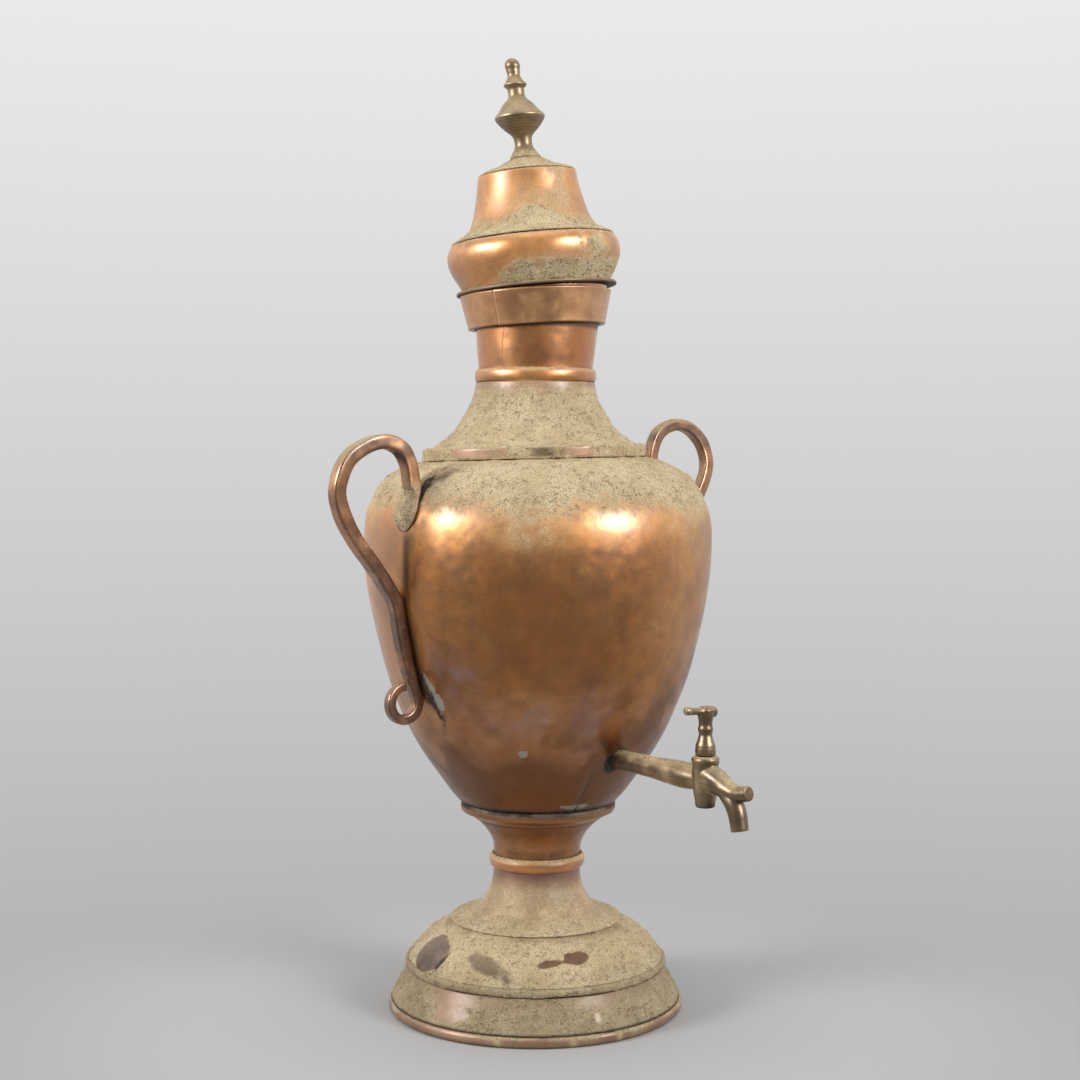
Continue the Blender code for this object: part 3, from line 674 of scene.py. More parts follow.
# ---------------------------------------------------------------- the body
def body_outline(steps):
    """The body's outer face, from its bottom edge over the shoulder to its inner flange."""
    side = smooth([(66.3, 177.1), (79.6, 193.2), (106.5, 234.3), (128.2, 287), (142.8, 348),
                   (147.2, 390), (144.9, 423), (131.4, 449.7), (117, 460)], steps)
    return side + [(105, 464.7), (94.4, 467.0), (84, 467.3)]


def body_relief(skin):
    """Hammered waves, the fold below the tap, the soft corner beside it, and a few dents."""
    waves = 0.9 * (layered(skin.points, 55, 2, 41) - 0.5) + 0.5 * (noise(skin.points, 19, 42) - 0.5)
    fold = -0.6 * bump(skin.turn_from(27.2 + (skin.z - 188) * 0.05), 0, 3.2) \
        * ramp(skin.z, 222, 205) * ramp(skin.z, 178, 186)
    lip = 0.5 * skin.facing(22.0, 4.0) * ramp(skin.z, 226, 208) \
        * ramp(skin.z, 178, 190)
    corner = 0.8 * skin.facing(23.5, 4.5) * bump(skin.z, 280, 62)
    hollow = -0.9 * skin.facing(31, 6) * bump(skin.z, 262, 36)
    sunk = -1.2 * skin.facing(40, 9) * bump(skin.z, 222, 20)
    dents = -0.7 * skin.patch(-12, 330, 26, 16, ragged=0.1, edge=0.9) \
        - 0.6 * skin.patch(-30, 300, 14, 22, ragged=0.1, edge=0.9)
    return waves + fold + lip + corner + hollow + sunk + dents


def body_cover(skin):
    p = skin.points
    wave, fine = layered(p, 26, 3, 43), layered(p, 9, 3, 44)
    centre = skin.facing(-2, 13)
    edge = 436 + 14 * (wave - 0.5) - 10 * centre - 6 * skin.facing(60, 25)
    dust = ramp(skin.z + 14 * (fine - 0.5), edge - 20, edge + 16)
    wiped = ramp(skin.z, edge - 48, edge - 4) * (0.22 + 0.42 * centre)
    # haze: dust film on the left and right edges, partly a painted sheen that lightens those edges
    # where they catch the light at a glancing angle
    haze = 0.17 * skin.facing(62, 22) * ramp(skin.z, 250, 400) \
        + 0.16 * skin.facing(-75, 22) * ramp(skin.z, 280, 420)
    dust = np.clip(np.maximum(dust, 0.8 * wiped * ramp(fine, 0.25, 0.7)), 0, 1)
    film = np.clip(0.55 * ramp(skin.z + 20 * (wave - 0.5), edge - 60, edge)
                   * (0.35 + 0.65 * centre) + 1.6 * haze + 0.10 * wave, 0, 1)

    crack = 0.62 * skin.patch(-37, 452, 6, 20, turn=-48, ragged=0.9, grain=4, edge=0.8) \
        + 0.75 * skin.patch(-42.5, 438, 4.5, 15, turn=-12, ragged=0.9, grain=4, edge=0.7) \
        + 0.4 * skin.patch(-42, 414, 4.0, 24, turn=0, ragged=0.3, edge=0.9)
    # painted reflection: the dark line beside the left handle's bar is the bar mirrored in the
    # copper, with some grime
    beside = 0.75 * bump(skin.turn_from(-45.5 - (330 - skin.z) * 0.004), 0, 2.4) \
        * ramp(skin.z, 268, 300) * ramp(skin.z, 424, 400)
    root = np.hypot(skin.turn_from(40) * math.pi / 180 * skin.radius, skin.z - 222)
    ring = 0.85 * ramp(root, 13.5, 9) + 0.25 * ramp(root, 26, 12)
    base = 0.8 * ramp(skin.z + 4 * (fine - 0.5), 182, 178)
    # painted shade in the crease below the tap, with some grime
    fold = 0.62 * bump(skin.turn_from(27.2 + (skin.z - 188) * 0.05), 0, 1.6) \
        * ramp(skin.z, 224, 208)
    tail = 0.5 * skin.patch(-40, 256, 3.0, 16, turn=-24, ragged=0.4, edge=0.6)
    crumbs = 0.9 * skin.patch(-44.2, 275, 4.0, 22, turn=20, ragged=0.9, grain=4, edge=0.4)
    grime = np.clip(crack, 0, 1) + beside + ring + base + fold + tail + crumbs

    solder = np.maximum(skin.patch(-43.6, 289, 3.0, 8, turn=24, ragged=0.9, grain=4, edge=0.15),
                        skin.patch(-40.2, 272, 4.6, 11, turn=24, ragged=0.7, grain=5, edge=0.15))
    solder = np.maximum(solder, skin.patch(-6.5, 232.4, 4.0, 3.3, ragged=0.15, edge=0.1))
    solder = np.maximum(solder, 0.8 * skin.patch(22, 182, 14, 3.2, turn=-6, ragged=0.7))
    rub = 0.5 * skin.facing(23, 5) * bump(skin.z, 290, 26) * ramp(fine, 0.35, 0.65) \
        + 0.35 * skin.facing(-45, 9) * bump(skin.z, 340, 50)
    blotches = ramp(layered(p, 24, 4, 45), 0.40, 0.72) * ramp(skin.z, 350, 270)
    # painted shade: the copper is darker towards the bottom, on the right side and low in the
    # front; the blotches are its own darker mottles
    shade = 0.85 * ramp(skin.z + 16 * (wave - 0.5), 262, 188) + 0.38 * blotches \
        + 0.30 * ramp(skin.z + 40 * (wave - 0.5), 330, 250) \
        + 0.35 * skin.facing(68, 22) + 0.2 * skin.facing(-6, 16) \
        * ramp(skin.z, 300, 270)
    bloom = 0.9 * skin.patch(-30, 297, 18, 20, ragged=0.9, grain=22, edge=0.8) \
        + 0.7 * skin.patch(20, 262, 14, 26, ragged=0.9, grain=20, edge=0.8) \
        + 0.6 * skin.patch(-12, 262, 30, 16, ragged=0.9, grain=18, edge=0.9)
    warm = 0.9 * skin.patch(31, 236, 12, 20, ragged=0.6, grain=14, edge=0.8) \
        + 0.9 * skin.patch(2, 325, 40, 42, ragged=0.6, grain=24, edge=0.9) \
        + 0.5 * skin.facing(-43, 3.5) * ramp(skin.z, 380, 350) \
        * ramp(skin.z, 270, 300)
    return {"dust": dust * (1 - 0.35 * np.clip(crack, 0, 1)), "film": film, "rub": rub,
            "solder": solder, "bloom": np.clip(bloom, 0, 1), "warm": np.clip(warm, 0, 1),
            "shade": np.clip(shade, 0, 1), "grime": np.clip(grime, 0, 1)}


turn_piece("body_vessel", skin_section(body_outline(8), spacing=2.1), 440, BODY_COPPER,
           relief=body_relief, cover=body_cover)


# ---------------------------------------------------------------- shoulder ring, neck, collar
def ring_cover(skin):
    wave = skin.wave(13, 51)
    side = ramp(skin.up, 0.6, 0.2) * ramp(skin.z, 468, 470)
    # left and right are the two sides where the lamps' highlights fall: the bare, worn copper laid
    # there is partly real, partly painted highlight
    left = ramp(skin.turn_from(-49), 0, 8) * ramp(-skin.turn_from(-9), 0, 8)
    right = 0.8 * ramp(skin.turn_from(12), 0, 6) * ramp(-skin.turn_from(33), 0, 8)
    bare = side * np.clip(left + right + 0.4 * ramp(wave, 0.45, 0.6), 0, 1) \
        * (0.75 + 0.25 * ramp(wave, 0.3, 0.5))
    return {"dust": 0.92 - 0.8 * np.clip(bare, 0, 1), "rub": 0.6 * bare,
            "film": 0.3,
            "grime": side * (0.55 * skin.facing(6, 11) * ramp(wave, 0.3, 0.7)
                             + 0.15)}


def neck_cone_cover(skin):
    wave = skin.wave(16, 52)
    return {"dust": (0.97 + 0.12 * (wave - 0.5)) * ramp(skin.z + 6 * (wave - 0.5), 529, 514),
            "film": 0.9 - 0.35 * ramp(skin.z, 518, 531)}


def seam(skin, psi, low, high, drift=0.0):
    """How near a point is to an upright lap seam."""
    return bump(skin.turn_from(psi + drift * np.sin(skin.z / 7.0)), 0, 0.75) \
        * ramp(skin.z, low - 1, low) * ramp(skin.z, high + 1, high)


def tube_relief(skin):
    step = 0.5 * ramp(skin.turn_from(-32.5 + 1.5 * np.sin(skin.z / 9.0)), -0.8, 0.8) \
        * ramp(-skin.turn_from(-32.5), -60, -5)
    return beaten(skin) * 0.7 + step * ramp(skin.z, 535, 545)


def tube_cover(skin):
    wave = skin.wave(12, 53)
    crack = seam(skin, -32.5, 545, 572, 1.5)
    return {"film": 0.04 + 0.2 * ramp(wave, 0.4, 0.7) * ramp(skin.z, 570, 545),
            "warm": 0.35 + 0.4 * ramp(wave, 0.4, 0.6),
            # the darkening just under the collar is painted shade, with grime
            "grime": 0.55 * crack + 0.75 * ramp(skin.z, 573, 578) + 0.4 * ramp(skin.z, 547, 544),
            "rub": 0.8 * skin.facing(-31.4, 0.6) * ramp(skin.z, 545, 550)
            + 0.5 * ramp(skin.z, 560, 574) * skin.facing(5, 22)}


def collar_relief(skin):
    return 0.35 * (layered(skin.points, 30, 2) - 0.5) \
        + 0.7 * ramp(skin.turn_from(-32.5), -0.5, 0.5) * ramp(-skin.turn_from(-32.5), -50, -6)


def collar_cover(skin):
    wave = skin.wave(15, 54)
    lip = ramp(skin.z, 25.5, 27.5)
    return {"film": 0.14 + 0.2 * ramp(wave, 0.35, 0.65) + 0.5 * lip * ramp(skin.up, 0.2, 0.8),
            "grime": 0.65 * seam(skin, -33.2, 0, 28) + 0.5 * ramp(skin.z, 1.0, 0.0),
            "rub": 0.8 * skin.facing(-31.6, 0.8) + 0.5 * bump(skin.z, 2.0, 1.2)
            + 0.4 * ramp(wave, 0.5, 0.7)}


RING_LOW = 467.3 + GAP
RING_HIGH = RING_LOW + 10.3
ring = solid_section([(83, RING_LOW), (94.0, RING_LOW), (94.4, RING_LOW + 0.8),
                      (94.4, RING_HIGH - 1.2), (93.5, RING_HIGH), (83, RING_HIGH)])
turn_piece("shoulder_ring", ring, 480, FOOT_COPPER, cover=ring_cover)
neck_cone = skin_section(smooth([(87, RING_HIGH + GAP), (77.5, 484), (66.5, 495), (58.5, 508),
                                 (53.3, 518.5), (50.4, 532)], 6))
turn_piece("neck_cone", neck_cone, 400, FOOT_COPPER, cover=neck_cone_cover)
tube = skin_section([(48.2, 524), (48.2, 543.5), (49.9, 558), (51.6, 578), (52.4, 591)])
turn_piece("neck_tube", tube, 480, NECK_COPPER, relief=tube_relief, cover=tube_cover)
NECK_BEAD = ((0, 0), (1.9, 0), (2.9, 2.6), (3.1, 5.4), (2.9, 8), (1.7, 10.6), (0.3, 11.2))
bead = solid_section(smooth([(48.5 + bulge, 532.3 + rise) for bulge, rise in NECK_BEAD], 4))
turn_piece("neck_bead", bead, 300, NECK_COPPER, cover=bead_cover(532, 543.6))
collar = skin_section([(57.9, 0), (60.4, 11.2), (64.2, 28)], spacing=0.9)
turn_piece("collar", collar, 640, SATIN_COPPER, place=in_collar,
           relief=collar_relief, cover=collar_cover)
ledge = solid_section([(52.9, 0), (56.0, 0), (56.3, 1.8), (52.9, 1.8)])
turn_piece("collar_ledge", ledge, 240, TINNED, place=in_collar)


# ---------------------------------------------------------------- the lift-off head
def brim_cover(skin):
    wave = skin.wave(12, 61)
    return {"dust": ramp(skin.up + 0.6 * (wave - 0.5), 0.1, 0.7) * 0.75,
            # the extra darkening on its underside is painted shade; the rest is grime
            "film": 0.4, "grime": 0.45 + 0.3 * ramp(skin.up, 0.1, -0.8)}


def bulge_relief(skin):
    return 0.8 * (layered(skin.points, 26, 2, 62) - 0.5) + 0.3 * (noise(skin.points, 9, 63) - 0.5)


def bulge_cover(skin):
    wave = skin.wave(11, 64)
    reach = ramp(skin.turn_from(-38), 0, 30) * ramp(-skin.turn_from(100), -10, 20)
    edge = 5 + 12.5 * reach + 6 * (wave - 0.5)
    low = ramp(skin.z + 3 * layered(skin.points, 4, 2, 60), edge + 4, edge - 1) \
        * (0.30 + 0.65 * reach)
    smear = 0.75 * skin.patch(46, 25, 12, 12, ragged=0.9, grain=5, edge=0.5)
    spots = np.maximum(skin.patch(3.5, 14, 5.2, 4.6, ragged=0.2, edge=0.15),
                       skin.patch(-17, 11, 4.4, 2.6, ragged=0.3, edge=0.2))
    dust = np.maximum(low, smear) * (1 - 0.8 * spots) + 0.6 * ramp(skin.z, 38.5, 40.2)
    film = 0.32 + 0.3 * ramp(skin.z, edge + 14, edge) * reach + 0.45 * smear
    return {"dust": np.clip(dust, 0, 1), "grime": 0.35 * spots + 0.25 * ramp(skin.z, 4, 1.6),
            "film": np.clip(film, 0, 1),
            "rub": 0.5 * ramp(skin.z, 20, 30) * ramp(wave, 0.4, 0.6)}


def cap_cover(skin):
    wave = skin.wave(14, 65)
    middle = skin.facing(2, 22)
    edge = 54 + 12 * middle + 12 * (wave - 0.5)
    dust = ramp(skin.z + 3 * layered(skin.points, 4, 2, 60), edge + 7, edge - 5) * 0.95
    haze = 0.42 * skin.facing(34, 22) * ramp(wave, 0.3, 0.6)
    film = 0.42 + 0.30 * ramp(skin.z, edge + 26, edge) * (0.4 + 0.6 * middle)
    return {"dust": dust, "film": np.clip(film + haze, 0, 1),
            "rub": 0.6 * bump(skin.z, 95.2, 1.0)
            + 0.6 * skin.facing(45, 16) * ramp(skin.z, 44, 42),
            "grime": 0.35 * ramp(skin.z, 42.6, 41.8)}


def plate_cover(skin):
    edge = ramp(skin.z, 97.5, 96.5)
    return {"dust": 0.9 - 0.5 * edge, "film": 0.8}


def finial_cover(skin):
    wave = skin.wave(7, 66)
    up = ramp(skin.up + 0.5 * (wave - 0.5), 0.2, 0.85)
    lift = skin.z - FINIAL_Z
    lines = ramp(np.sin(lift * 2.9), 0.55, 1.0) * ramp(lift, 19, 22) * ramp(lift, 48, 44)
    return {"dust": 0.10 + 0.10 * up + 0.55 * ramp(lift, 9, 2), "film": 0.15 + 0.12 * up,
            # downward faces are darkened as painted shade; the turned grooves are darkened too
            "grime": 0.30 * ramp(-skin.up, 0.1, 0.8) + 0.35 * lines,
            "rub": 0.5 * bump(lift, 34.8, 1.4) + 0.4 * bump(lift, 62.2, 1.2)}


def turned_finial(points):
    """The finial was bent over: everything above its foot leans further than the head."""
    lift = np.maximum(points[..., 2:] - FINIAL_Z, 0)
    return in_head(points + np.array(LEAN) * FINIAL_BEND * lift)


def finial_relief(skin):
    """Uneven from casting, with the lines that turning left."""
    lift = skin.z - FINIAL_Z
    lines = -0.22 * ramp(np.sin(lift * 2.9), 0.5, 1.0) * ramp(lift, 19, 22) * ramp(lift, 50, 46)
    return 0.25 * (layered(skin.points, 14, 2, 67) - 0.5) + lines


turn_piece("head_skirt", skin_section([(57.2, -14), (59.5, -1.5)], 1.2), 320, SATIN_COPPER,
           "head", in_head)
brim = solid_section([(57.6, -1.2), (67.7, -1.2), (68, 0.2), (67.5, 1.4), (57.6, 1.4)],
                     spacing=0.5, passes=1)
turn_piece("head_brim", brim, 400, FOOT_COPPER, "head", in_head, cover=brim_cover)
bulge = skin_section(smooth([(62.2, 1.7), (66.2, 9.5), (70.9, 18.5), (73, 27), (72.5, 34.5),
                             (69.4, 40.4)], 6))
turn_piece("head_bulge", bulge, 420, NECK_COPPER, "head", in_head,
           relief=bulge_relief, cover=bulge_cover)
cap = skin_section([(68.6, 41.9)] + smooth([(67.2, 43.6), (60.5, 46.2), (54.6, 50.6), (49.5, 60),
                                            (45.6, 74), (43.2, 86), (41.7, 96.4)], 6))
turn_piece("head_cap", cap, 400, NECK_COPPER, "head", in_head, cover=cap_cover)
plate = solid_section([(41.6, 96.7), (41.2, 97.9), (35.5, 99.8), (22, 105.4), (13.8, 110),
                       (5.4, 110), (5.4, 108.1), (14, 108.1), (36, 97.8), (39, 96.7)])
turn_piece("head_plate", plate, 320, FOOT_COPPER, "head", in_head,
           cover=plate_cover)


def finial_section():
    """Stud, baluster, sharp-edged knop, disc and ball, closed along the axis."""
    foot = smooth([(13.4, 0), (11.2, 3.6), (7.9, 9), (7.4, 13.5), (8.4, 18.5), (10.8, 21.5)], 5)
    knop = [(14.6, 25.0), (17.8, 28.6), (20.1, 31.8), (21.2, 33.6), (21.3, 35.2), (20.4, 36.4),
            (17.6, 39.2)]
    upper = smooth([(12.6, 46), (7.6, 51), (6.9, 56), (7.2, 59)], 5)
    disc = [(8.9, 60.4), (9.9, 61.6), (9.5, 62.9), (8.0, 64.2)]
    neck = smooth([(6.6, 66.4), (5.3, 69.6), (5.6, 72.4)], 5)
    ball = [(6.5 * math.sin(a), 78 - 6.5 * math.cos(a)) for a in
            (math.radians(angle) for angle in range(65, 171, 15))]
    line = foot + knop + upper + disc + neck + ball + [(0.05, 84.5)]
    line = [(0.05, -11), (4.6, -11), (4.6, 0)] + line
    line = soften(resample([(r, z + FINIAL_Z) for r, z in line], 0.6), 1)
    return line, np.ones(len(line))


turn_piece("finial", finial_section(), 160, OLD_BRASS, "head", turned_finial,
           relief=finial_relief, cover=finial_cover)


# ---------------------------------------------------------------- the handles
LEFT_ARCH = ((142.4, 448, 5.0), (145.2, 464, 4.8), (153, 476, 4.4), (167.5, 481.2, 3.8),
             (185.6, 476.7, 3.0), (201, 465, 2.3), (207.9, 444, 1.7), (203, 425, 1.3),
             (190.4, 405, 1.0), (169.2, 379.7, 0.6), (151.0, 354, 0.5))
RIGHT_ARCH = ((143, 455, 5.0), (145.2, 476, 4.8), (154, 491.5, 4.4), (172, 499.0, 3.7),
              (188.6, 496, 3.0), (202, 484.5, 2.2), (207.4, 468, 1.5), (204, 452, 1.1),
              (191, 429.5, 0.9), (170, 401, 0.6), (152.8, 371, 0.5))
HANDLE_BAR = 5.8
FOOT_SWING = 0.5
SCROLL_Z, SCROLL_CLEARANCE, SCROLL_RADIUS = 277.5, 18.3, 13.3


def on_body(height, lift):
    """A point above the body's skin, as distance from the axis and height."""
    outline = np.array(body_outline(2))
    side = np.gradient(outline, axis=0)
    radius = np.interp(height, outline[:, 1], outline[:, 0])
    along_r, along_z = (np.interp(height, outline[:, 1], side[:, k]) for k in (0, 1))
    length = math.hypot(along_r, along_z)
    return radius + along_z / length * lift, height - along_r / length * lift


def handle_path(arch, thickness, lift):
    """(reach, height, half thickness, half width, swing, squareness) along the bar, from the
    leaf on the shoulder, over the arch and down to the scroll on the body."""
    leaf = [(*on_body(410, 1.3), 0.8, 3.6, 3.6, 0), (*on_body(413, 1.4), 1.1, 7.6, 3.6, 0),
            (*on_body(419, 1.7), 1.5, 11.4, 3.7, 0), (*on_body(427, 1.9), 1.7, 12.4, 3.9, 0),
            (*on_body(435, 2.5), 2.3, 9.8, 4.4, 0.3), (*on_body(441, 4.9), 4.4, 6.8, 4.9, 0.8)]
    bar = [(reach, height, thickness, thickness, swing, 1) for reach, height, swing in arch]
    foot = [(*on_body(height + lift, half + 0.9), half, half, FOOT_SWING, 1)
            for height, half in ((333, 5.5), (314, 5.2), (295, 4.8))]
    eye_reach, eye_height = on_body(SCROLL_Z + lift, SCROLL_CLEARANCE)
    scroll = []
    for step in range(27):
        share = step / 26
        angle = math.radians(150 + share * 302)
        half = 4.4 - 1.1 * share
        scroll.append((eye_reach + SCROLL_RADIUS * math.cos(angle),
                       eye_height + SCROLL_RADIUS * math.sin(angle), half, half, FOOT_SWING, 1))
    return smooth(leaf + bar + foot + scroll, 8)


def sweep_rings(path, corners, out):
    """Rings of points and their outward directions along a path in the upright plane that holds
    the direction out, each ring shaped by corners(squareness)."""
    path = np.array(path)
    along = np.gradient(path[:, :2], axis=0)
    along /= np.linalg.norm(along, axis=1)[:, None]
    inner = np.stack([-along[:, 1], along[:, 0]], 1)
    rings, normals = [], []
    for (reach, height, thick, wide, swing, square), (nr, nz) in zip(path, inner):
        turned_out = Matrix.Rotation(math.radians(swing), 3, "Z") @ out
        across = np.array(turned_out.cross(Vector((0, 0, 1))))
        centre = np.array(turned_out) * reach + np.array((0, 0, height))
        normal = np.array(turned_out) * nr + np.array((0, 0, nz))
        shape = corners(square)
        rings.append(centre + shape[:, :1] * normal * thick + shape[:, 1:] * across * wide)
        away = shape[:, :1] * normal / thick + shape[:, 1:] * across / wide
        normals.append(away / np.linalg.norm(away, axis=1)[:, None])
    return np.array(rings), np.array(normals)


def round_ring(count):
    angle = np.arange(count) * 2 * math.pi / count
    return np.stack([np.cos(angle), np.sin(angle)], 1)


def bar_ring(count):
    """A ring that goes from round to a square bar with hammered-off corners."""
    ring = round_ring(count)

    def corners(square):
        power = 2 + 4.5 * square
        reach = (np.abs(ring) ** power).sum(1) ** (-1 / power)
        return ring * reach[:, None]
    return corners


def with_caps(rows, columns):
    """The faces of a tube whose two ends are closed by one face each."""
    first, last = range(columns), range((rows - 1) * columns, rows * columns)
    return torus_faces(rows, columns, ends=True) + [list(first)[::-1], list(last)]


def handle_marks(points, up, lift):
    z, size = points[..., 2], points.shape[:2]
    wave = layered(points, 13, 3, 71)
    along = np.broadcast_to(np.linspace(0, 1, size[0])[:, None], size)
    leaf = ramp(along, 0.125, 0.075)
    low = ramp(along, 0.66, 0.72)
    dust = ramp(up + 0.9 * (wave - 0.5), 0.15, 0.95) * 0.55 + 0.10 * ramp(wave, 0.4, 0.7)
    dust = dust * (0.7 - 0.55 * low) + leaf * 0.62
    knee = bump(along, 0.165, 0.035)
    rub = 0.55 * ramp(wave, 0.42, 0.62) * (1 - leaf) * ramp(up, 0.85, 0.1)
    # painted shade: the underside of the bar, most under its knee above the leaf; the leaf's lower
    # end gets grime
    grime = 0.55 * knee * ramp(up, 0.4, -0.4) + 0.3 * ramp(up, -0.1, -0.9) \
        + 0.65 * leaf * (0.5 + ramp(z - lift, 420, 411)) * ramp(wave, 0.25, 0.6)
    film = 0.08 + 0.32 * ramp(up + 0.5 * (wave - 0.5), 0.1, 0.9) * (1 - 0.6 * low)
    return {"dust": np.clip(dust, 0, 1).ravel(), "film": film.ravel(), "rub": rub.ravel(),
            "grime": grime.ravel()}


def make_handle(node, side, arch, thickness, lift):
    path = resample(handle_path(arch, thickness, lift), 1.25)
    rings, normals = sweep_rings(path, bar_ring(40), Vector((side, 0, 0)))
    marks = handle_marks(rings, normals[..., 2], lift)
    dust = marks["dust"].reshape(rings.shape[:2])
    relief = 0.9 * (layered(rings, 24, 2, 72) - 0.5) + 0.5 * (noise(rings, 9, 73) - 0.5) \
        + dust_lumps(rings, dust)
    leaf = bump(rings[..., 2], 426, 9) * (np.arange(len(rings)) < 40)[:, None]
    relief = relief + 1.3 * leaf * ramp(normals[..., 2], -0.1, 0.25)
    rings = rings + normals * relief[..., None]
    made = write_mesh(node + "_fine", (rings + np.array(AXIS)).reshape(-1, 3),
                      with_caps(*rings.shape[:2]), marks, BAR_COPPER)
    finish_piece(made, node, "pot")


make_handle("handle_left", -1, LEFT_ARCH, HANDLE_BAR, 0)
make_handle("handle_right", 1, RIGHT_ARCH, HANDLE_BAR - 0.5, 16)


# ---------------------------------------------------------------- the tap and its key
def tap_line(reach):
    """Height of the shank's centre line, which slopes down to the barrel."""
    return 220.4 + (TAP_REACH - reach) * TAP_SLOPE


def tube(path, count=48):
    """A closed round shape along a path of (reach, height, half thickness, half width)."""
    path = resample([(*spot, 0, 0) for spot in smooth(path, 6)], 1.0)
    rings, _ = sweep_rings(path, lambda _: round_ring(count), Vector((0, -1, 0)))
    return rings.reshape(-1, 3), with_caps(*rings.shape[:2])


def spun(section, count=48):
    """A closed shape turned from (radius, height) points about Z, its ends flat."""
    wheel = round_ring(count)
    points = np.array([[(r * x, r * y, z) for x, y in wheel] for r, z in section])
    return points.reshape(-1, 3), with_caps(len(section), count)


def joined(shapes):
    """One mesh of several closed shapes, in metres."""
    points, faces, start = [], [], 0
    for spots, sides in shapes:
        points.append(spots)
        faces += [[start + corner for corner in side] for side in sides]
        start += len(spots)
    mesh = bpy.data.meshes.new("shape")
    mesh.from_pydata((np.concatenate(points) * MM).tolist(), [], faces)
    return mesh


def cast(shapes, voxel, smoothing, cutters=()):
    """Points and faces of shapes run together as in a casting, with bores cut in it after."""
    rough = bpy.data.objects.new("rough", joined(shapes))
    bpy.context.scene.collection.objects.link(rough)
    melt = rough.modifiers.new("melt", "REMESH")
    melt.mode, melt.voxel_size = "VOXEL", voxel * MM
    even = rough.modifiers.new("even", "SMOOTH")
    even.factor, even.iterations = 0.5, smoothing
    helpers = [rough]
    for shape in cutters:
        tool = bpy.data.objects.new("tool", joined([shape]))
        bpy.context.scene.collection.objects.link(tool)
        helpers.append(tool)
        bore = rough.modifiers.new("bore", "BOOLEAN")
        bore.object, bore.operation, bore.solver = tool, "DIFFERENCE", "EXACT"
    bpy.context.view_layer.update()
    done = rough.evaluated_get(bpy.context.evaluated_depsgraph_get()).to_mesh()
    points = np.empty(len(done.vertices) * 3)
    done.vertices.foreach_get("co", points)
    normals = np.empty(len(done.vertices) * 3)
    done.vertices.foreach_get("normal", normals)
    faces = [tuple(face.vertices) for face in done.polygons]
    for helper in helpers:
        bpy.data.objects.remove(helper)
    return points.reshape(-1, 3) / MM, normals.reshape(-1, 3), faces


def rod(start, stop, radius):
    along = Vector(stop) - Vector(start)
    turn = along.to_track_quat("Z", "Y").to_matrix()
    points, faces = spun([(radius, 0), (radius, along.length)])
    return points @ np.array(turn).T + np.array(start), faces


def brass_piece(node, points, normals, faces, marks, body, place):
    relief = 0.26 * (layered(points, 11, 2, 81) - 0.5) + 0.14 * (noise(points, 4, 82) - 0.5)
    relief = relief + 0.6 * dust_lumps(points, marks["dust"])
    points = points + normals * relief[:, None]
    made = write_mesh(node + "_fine", points + place, faces, marks, OLD_BRASS)
    finish_piece(made, node, body)


def make_tap():
    shank = tube([(84, tap_line(84), 7.9, 7.9), (110, tap_line(110), 8.1, 8.1),
                  (140, tap_line(140), 8.6, 8.6), (162, tap_line(162), 9.8, 9.8),
                  (178, tap_line(178), 10.4, 10.4), (196, tap_line(196), 8.8, 8.8)])
    barrel, barrel_faces = spun(
        smooth([(7.5, 199.2), (8.2, 205), (9.6, 213), (9.9, 228), (10.2, 233)], 5)
        + [(10.9, 234.6), (11.0, 236), (10.9, 237.4), (9.8, 238.9)])
    at_key = np.array((0, -TAP_REACH, 0))
    arm = tube([(201, 220.4, 8.6, 9.6), (212, 220, 9.2, 9.3), (222, 217, 8.0, 8.1),
                (231, 214.4, 6.9, 7.0), (238, 214.6, 6.3, 6.6), (246.5, 216, 5.9, 5.8)])
    shoulder = tube([(199, 225.5, 8.0, 9.6), (207, 224.5, 8.4, 9.4), (216, 220.8, 8.2, 8.8),
                     (226, 216, 6.8, 7.0)])
    outlet = tube([(221, 215, 6.4, 6.4), (229.5, 208.5, 7.6, 7.6), (234.6, 199, 7.3, 7.3),
                   (237.4, 186, 6.8, 6.8)])
    plug_bore, bore_faces = spun([(6.5, 196), (6.5, 202.4), (5.6, 202.5), (6.65, 243)])
    points, normals, faces = cast(
        [shank, (barrel + at_key, barrel_faces), arm, shoulder, outlet], 0.5, 22,
        [(plug_bore + at_key, bore_faces), rod((0, -231.8, 212), (0, -238.0, 182), 3.9)])
    reach, z = -points[:, 1], points[:, 2]
    wave = layered(points, 9, 3, 83)
    root = ramp(reach, 108, 101)
    dust = ramp(normals[:, 2] + 0.5 * (wave - 0.5), 0.3, 1.0) * (0.55 - 0.3 * ramp(reach, 190, 225))
    film = 0.1 + 0.35 * ramp(normals[:, 2] + 0.5 * (wave - 0.5), 0.0, 0.9)
    # painted shade: downward faces and the throat under the barrel are darkened; the shank's root
    # is darkened as well
    under = ramp(normals[:, 2], 0.0, -0.9)
    throat = ramp(z, 206, 199) * ramp(np.abs(reach - TAP_REACH), 13, 9)
    worn = bump(z, 236, 1.8) * ramp(np.abs(reach - TAP_REACH), 14, 11)
    marks = {"dust": np.clip(dust, 0, 1), "film": film,
             "rub": 0.5 * worn + 0.15 * ramp(wave, 0.5, 0.68) + 0.6 * bump(reach, 166, 6),
             "grime": np.clip(0.85 * root + 0.30 * under + 0.7 * throat, 0, 1)}
    brass_piece("tap_body", points, normals, faces, marks, "pot", np.array(AXIS))


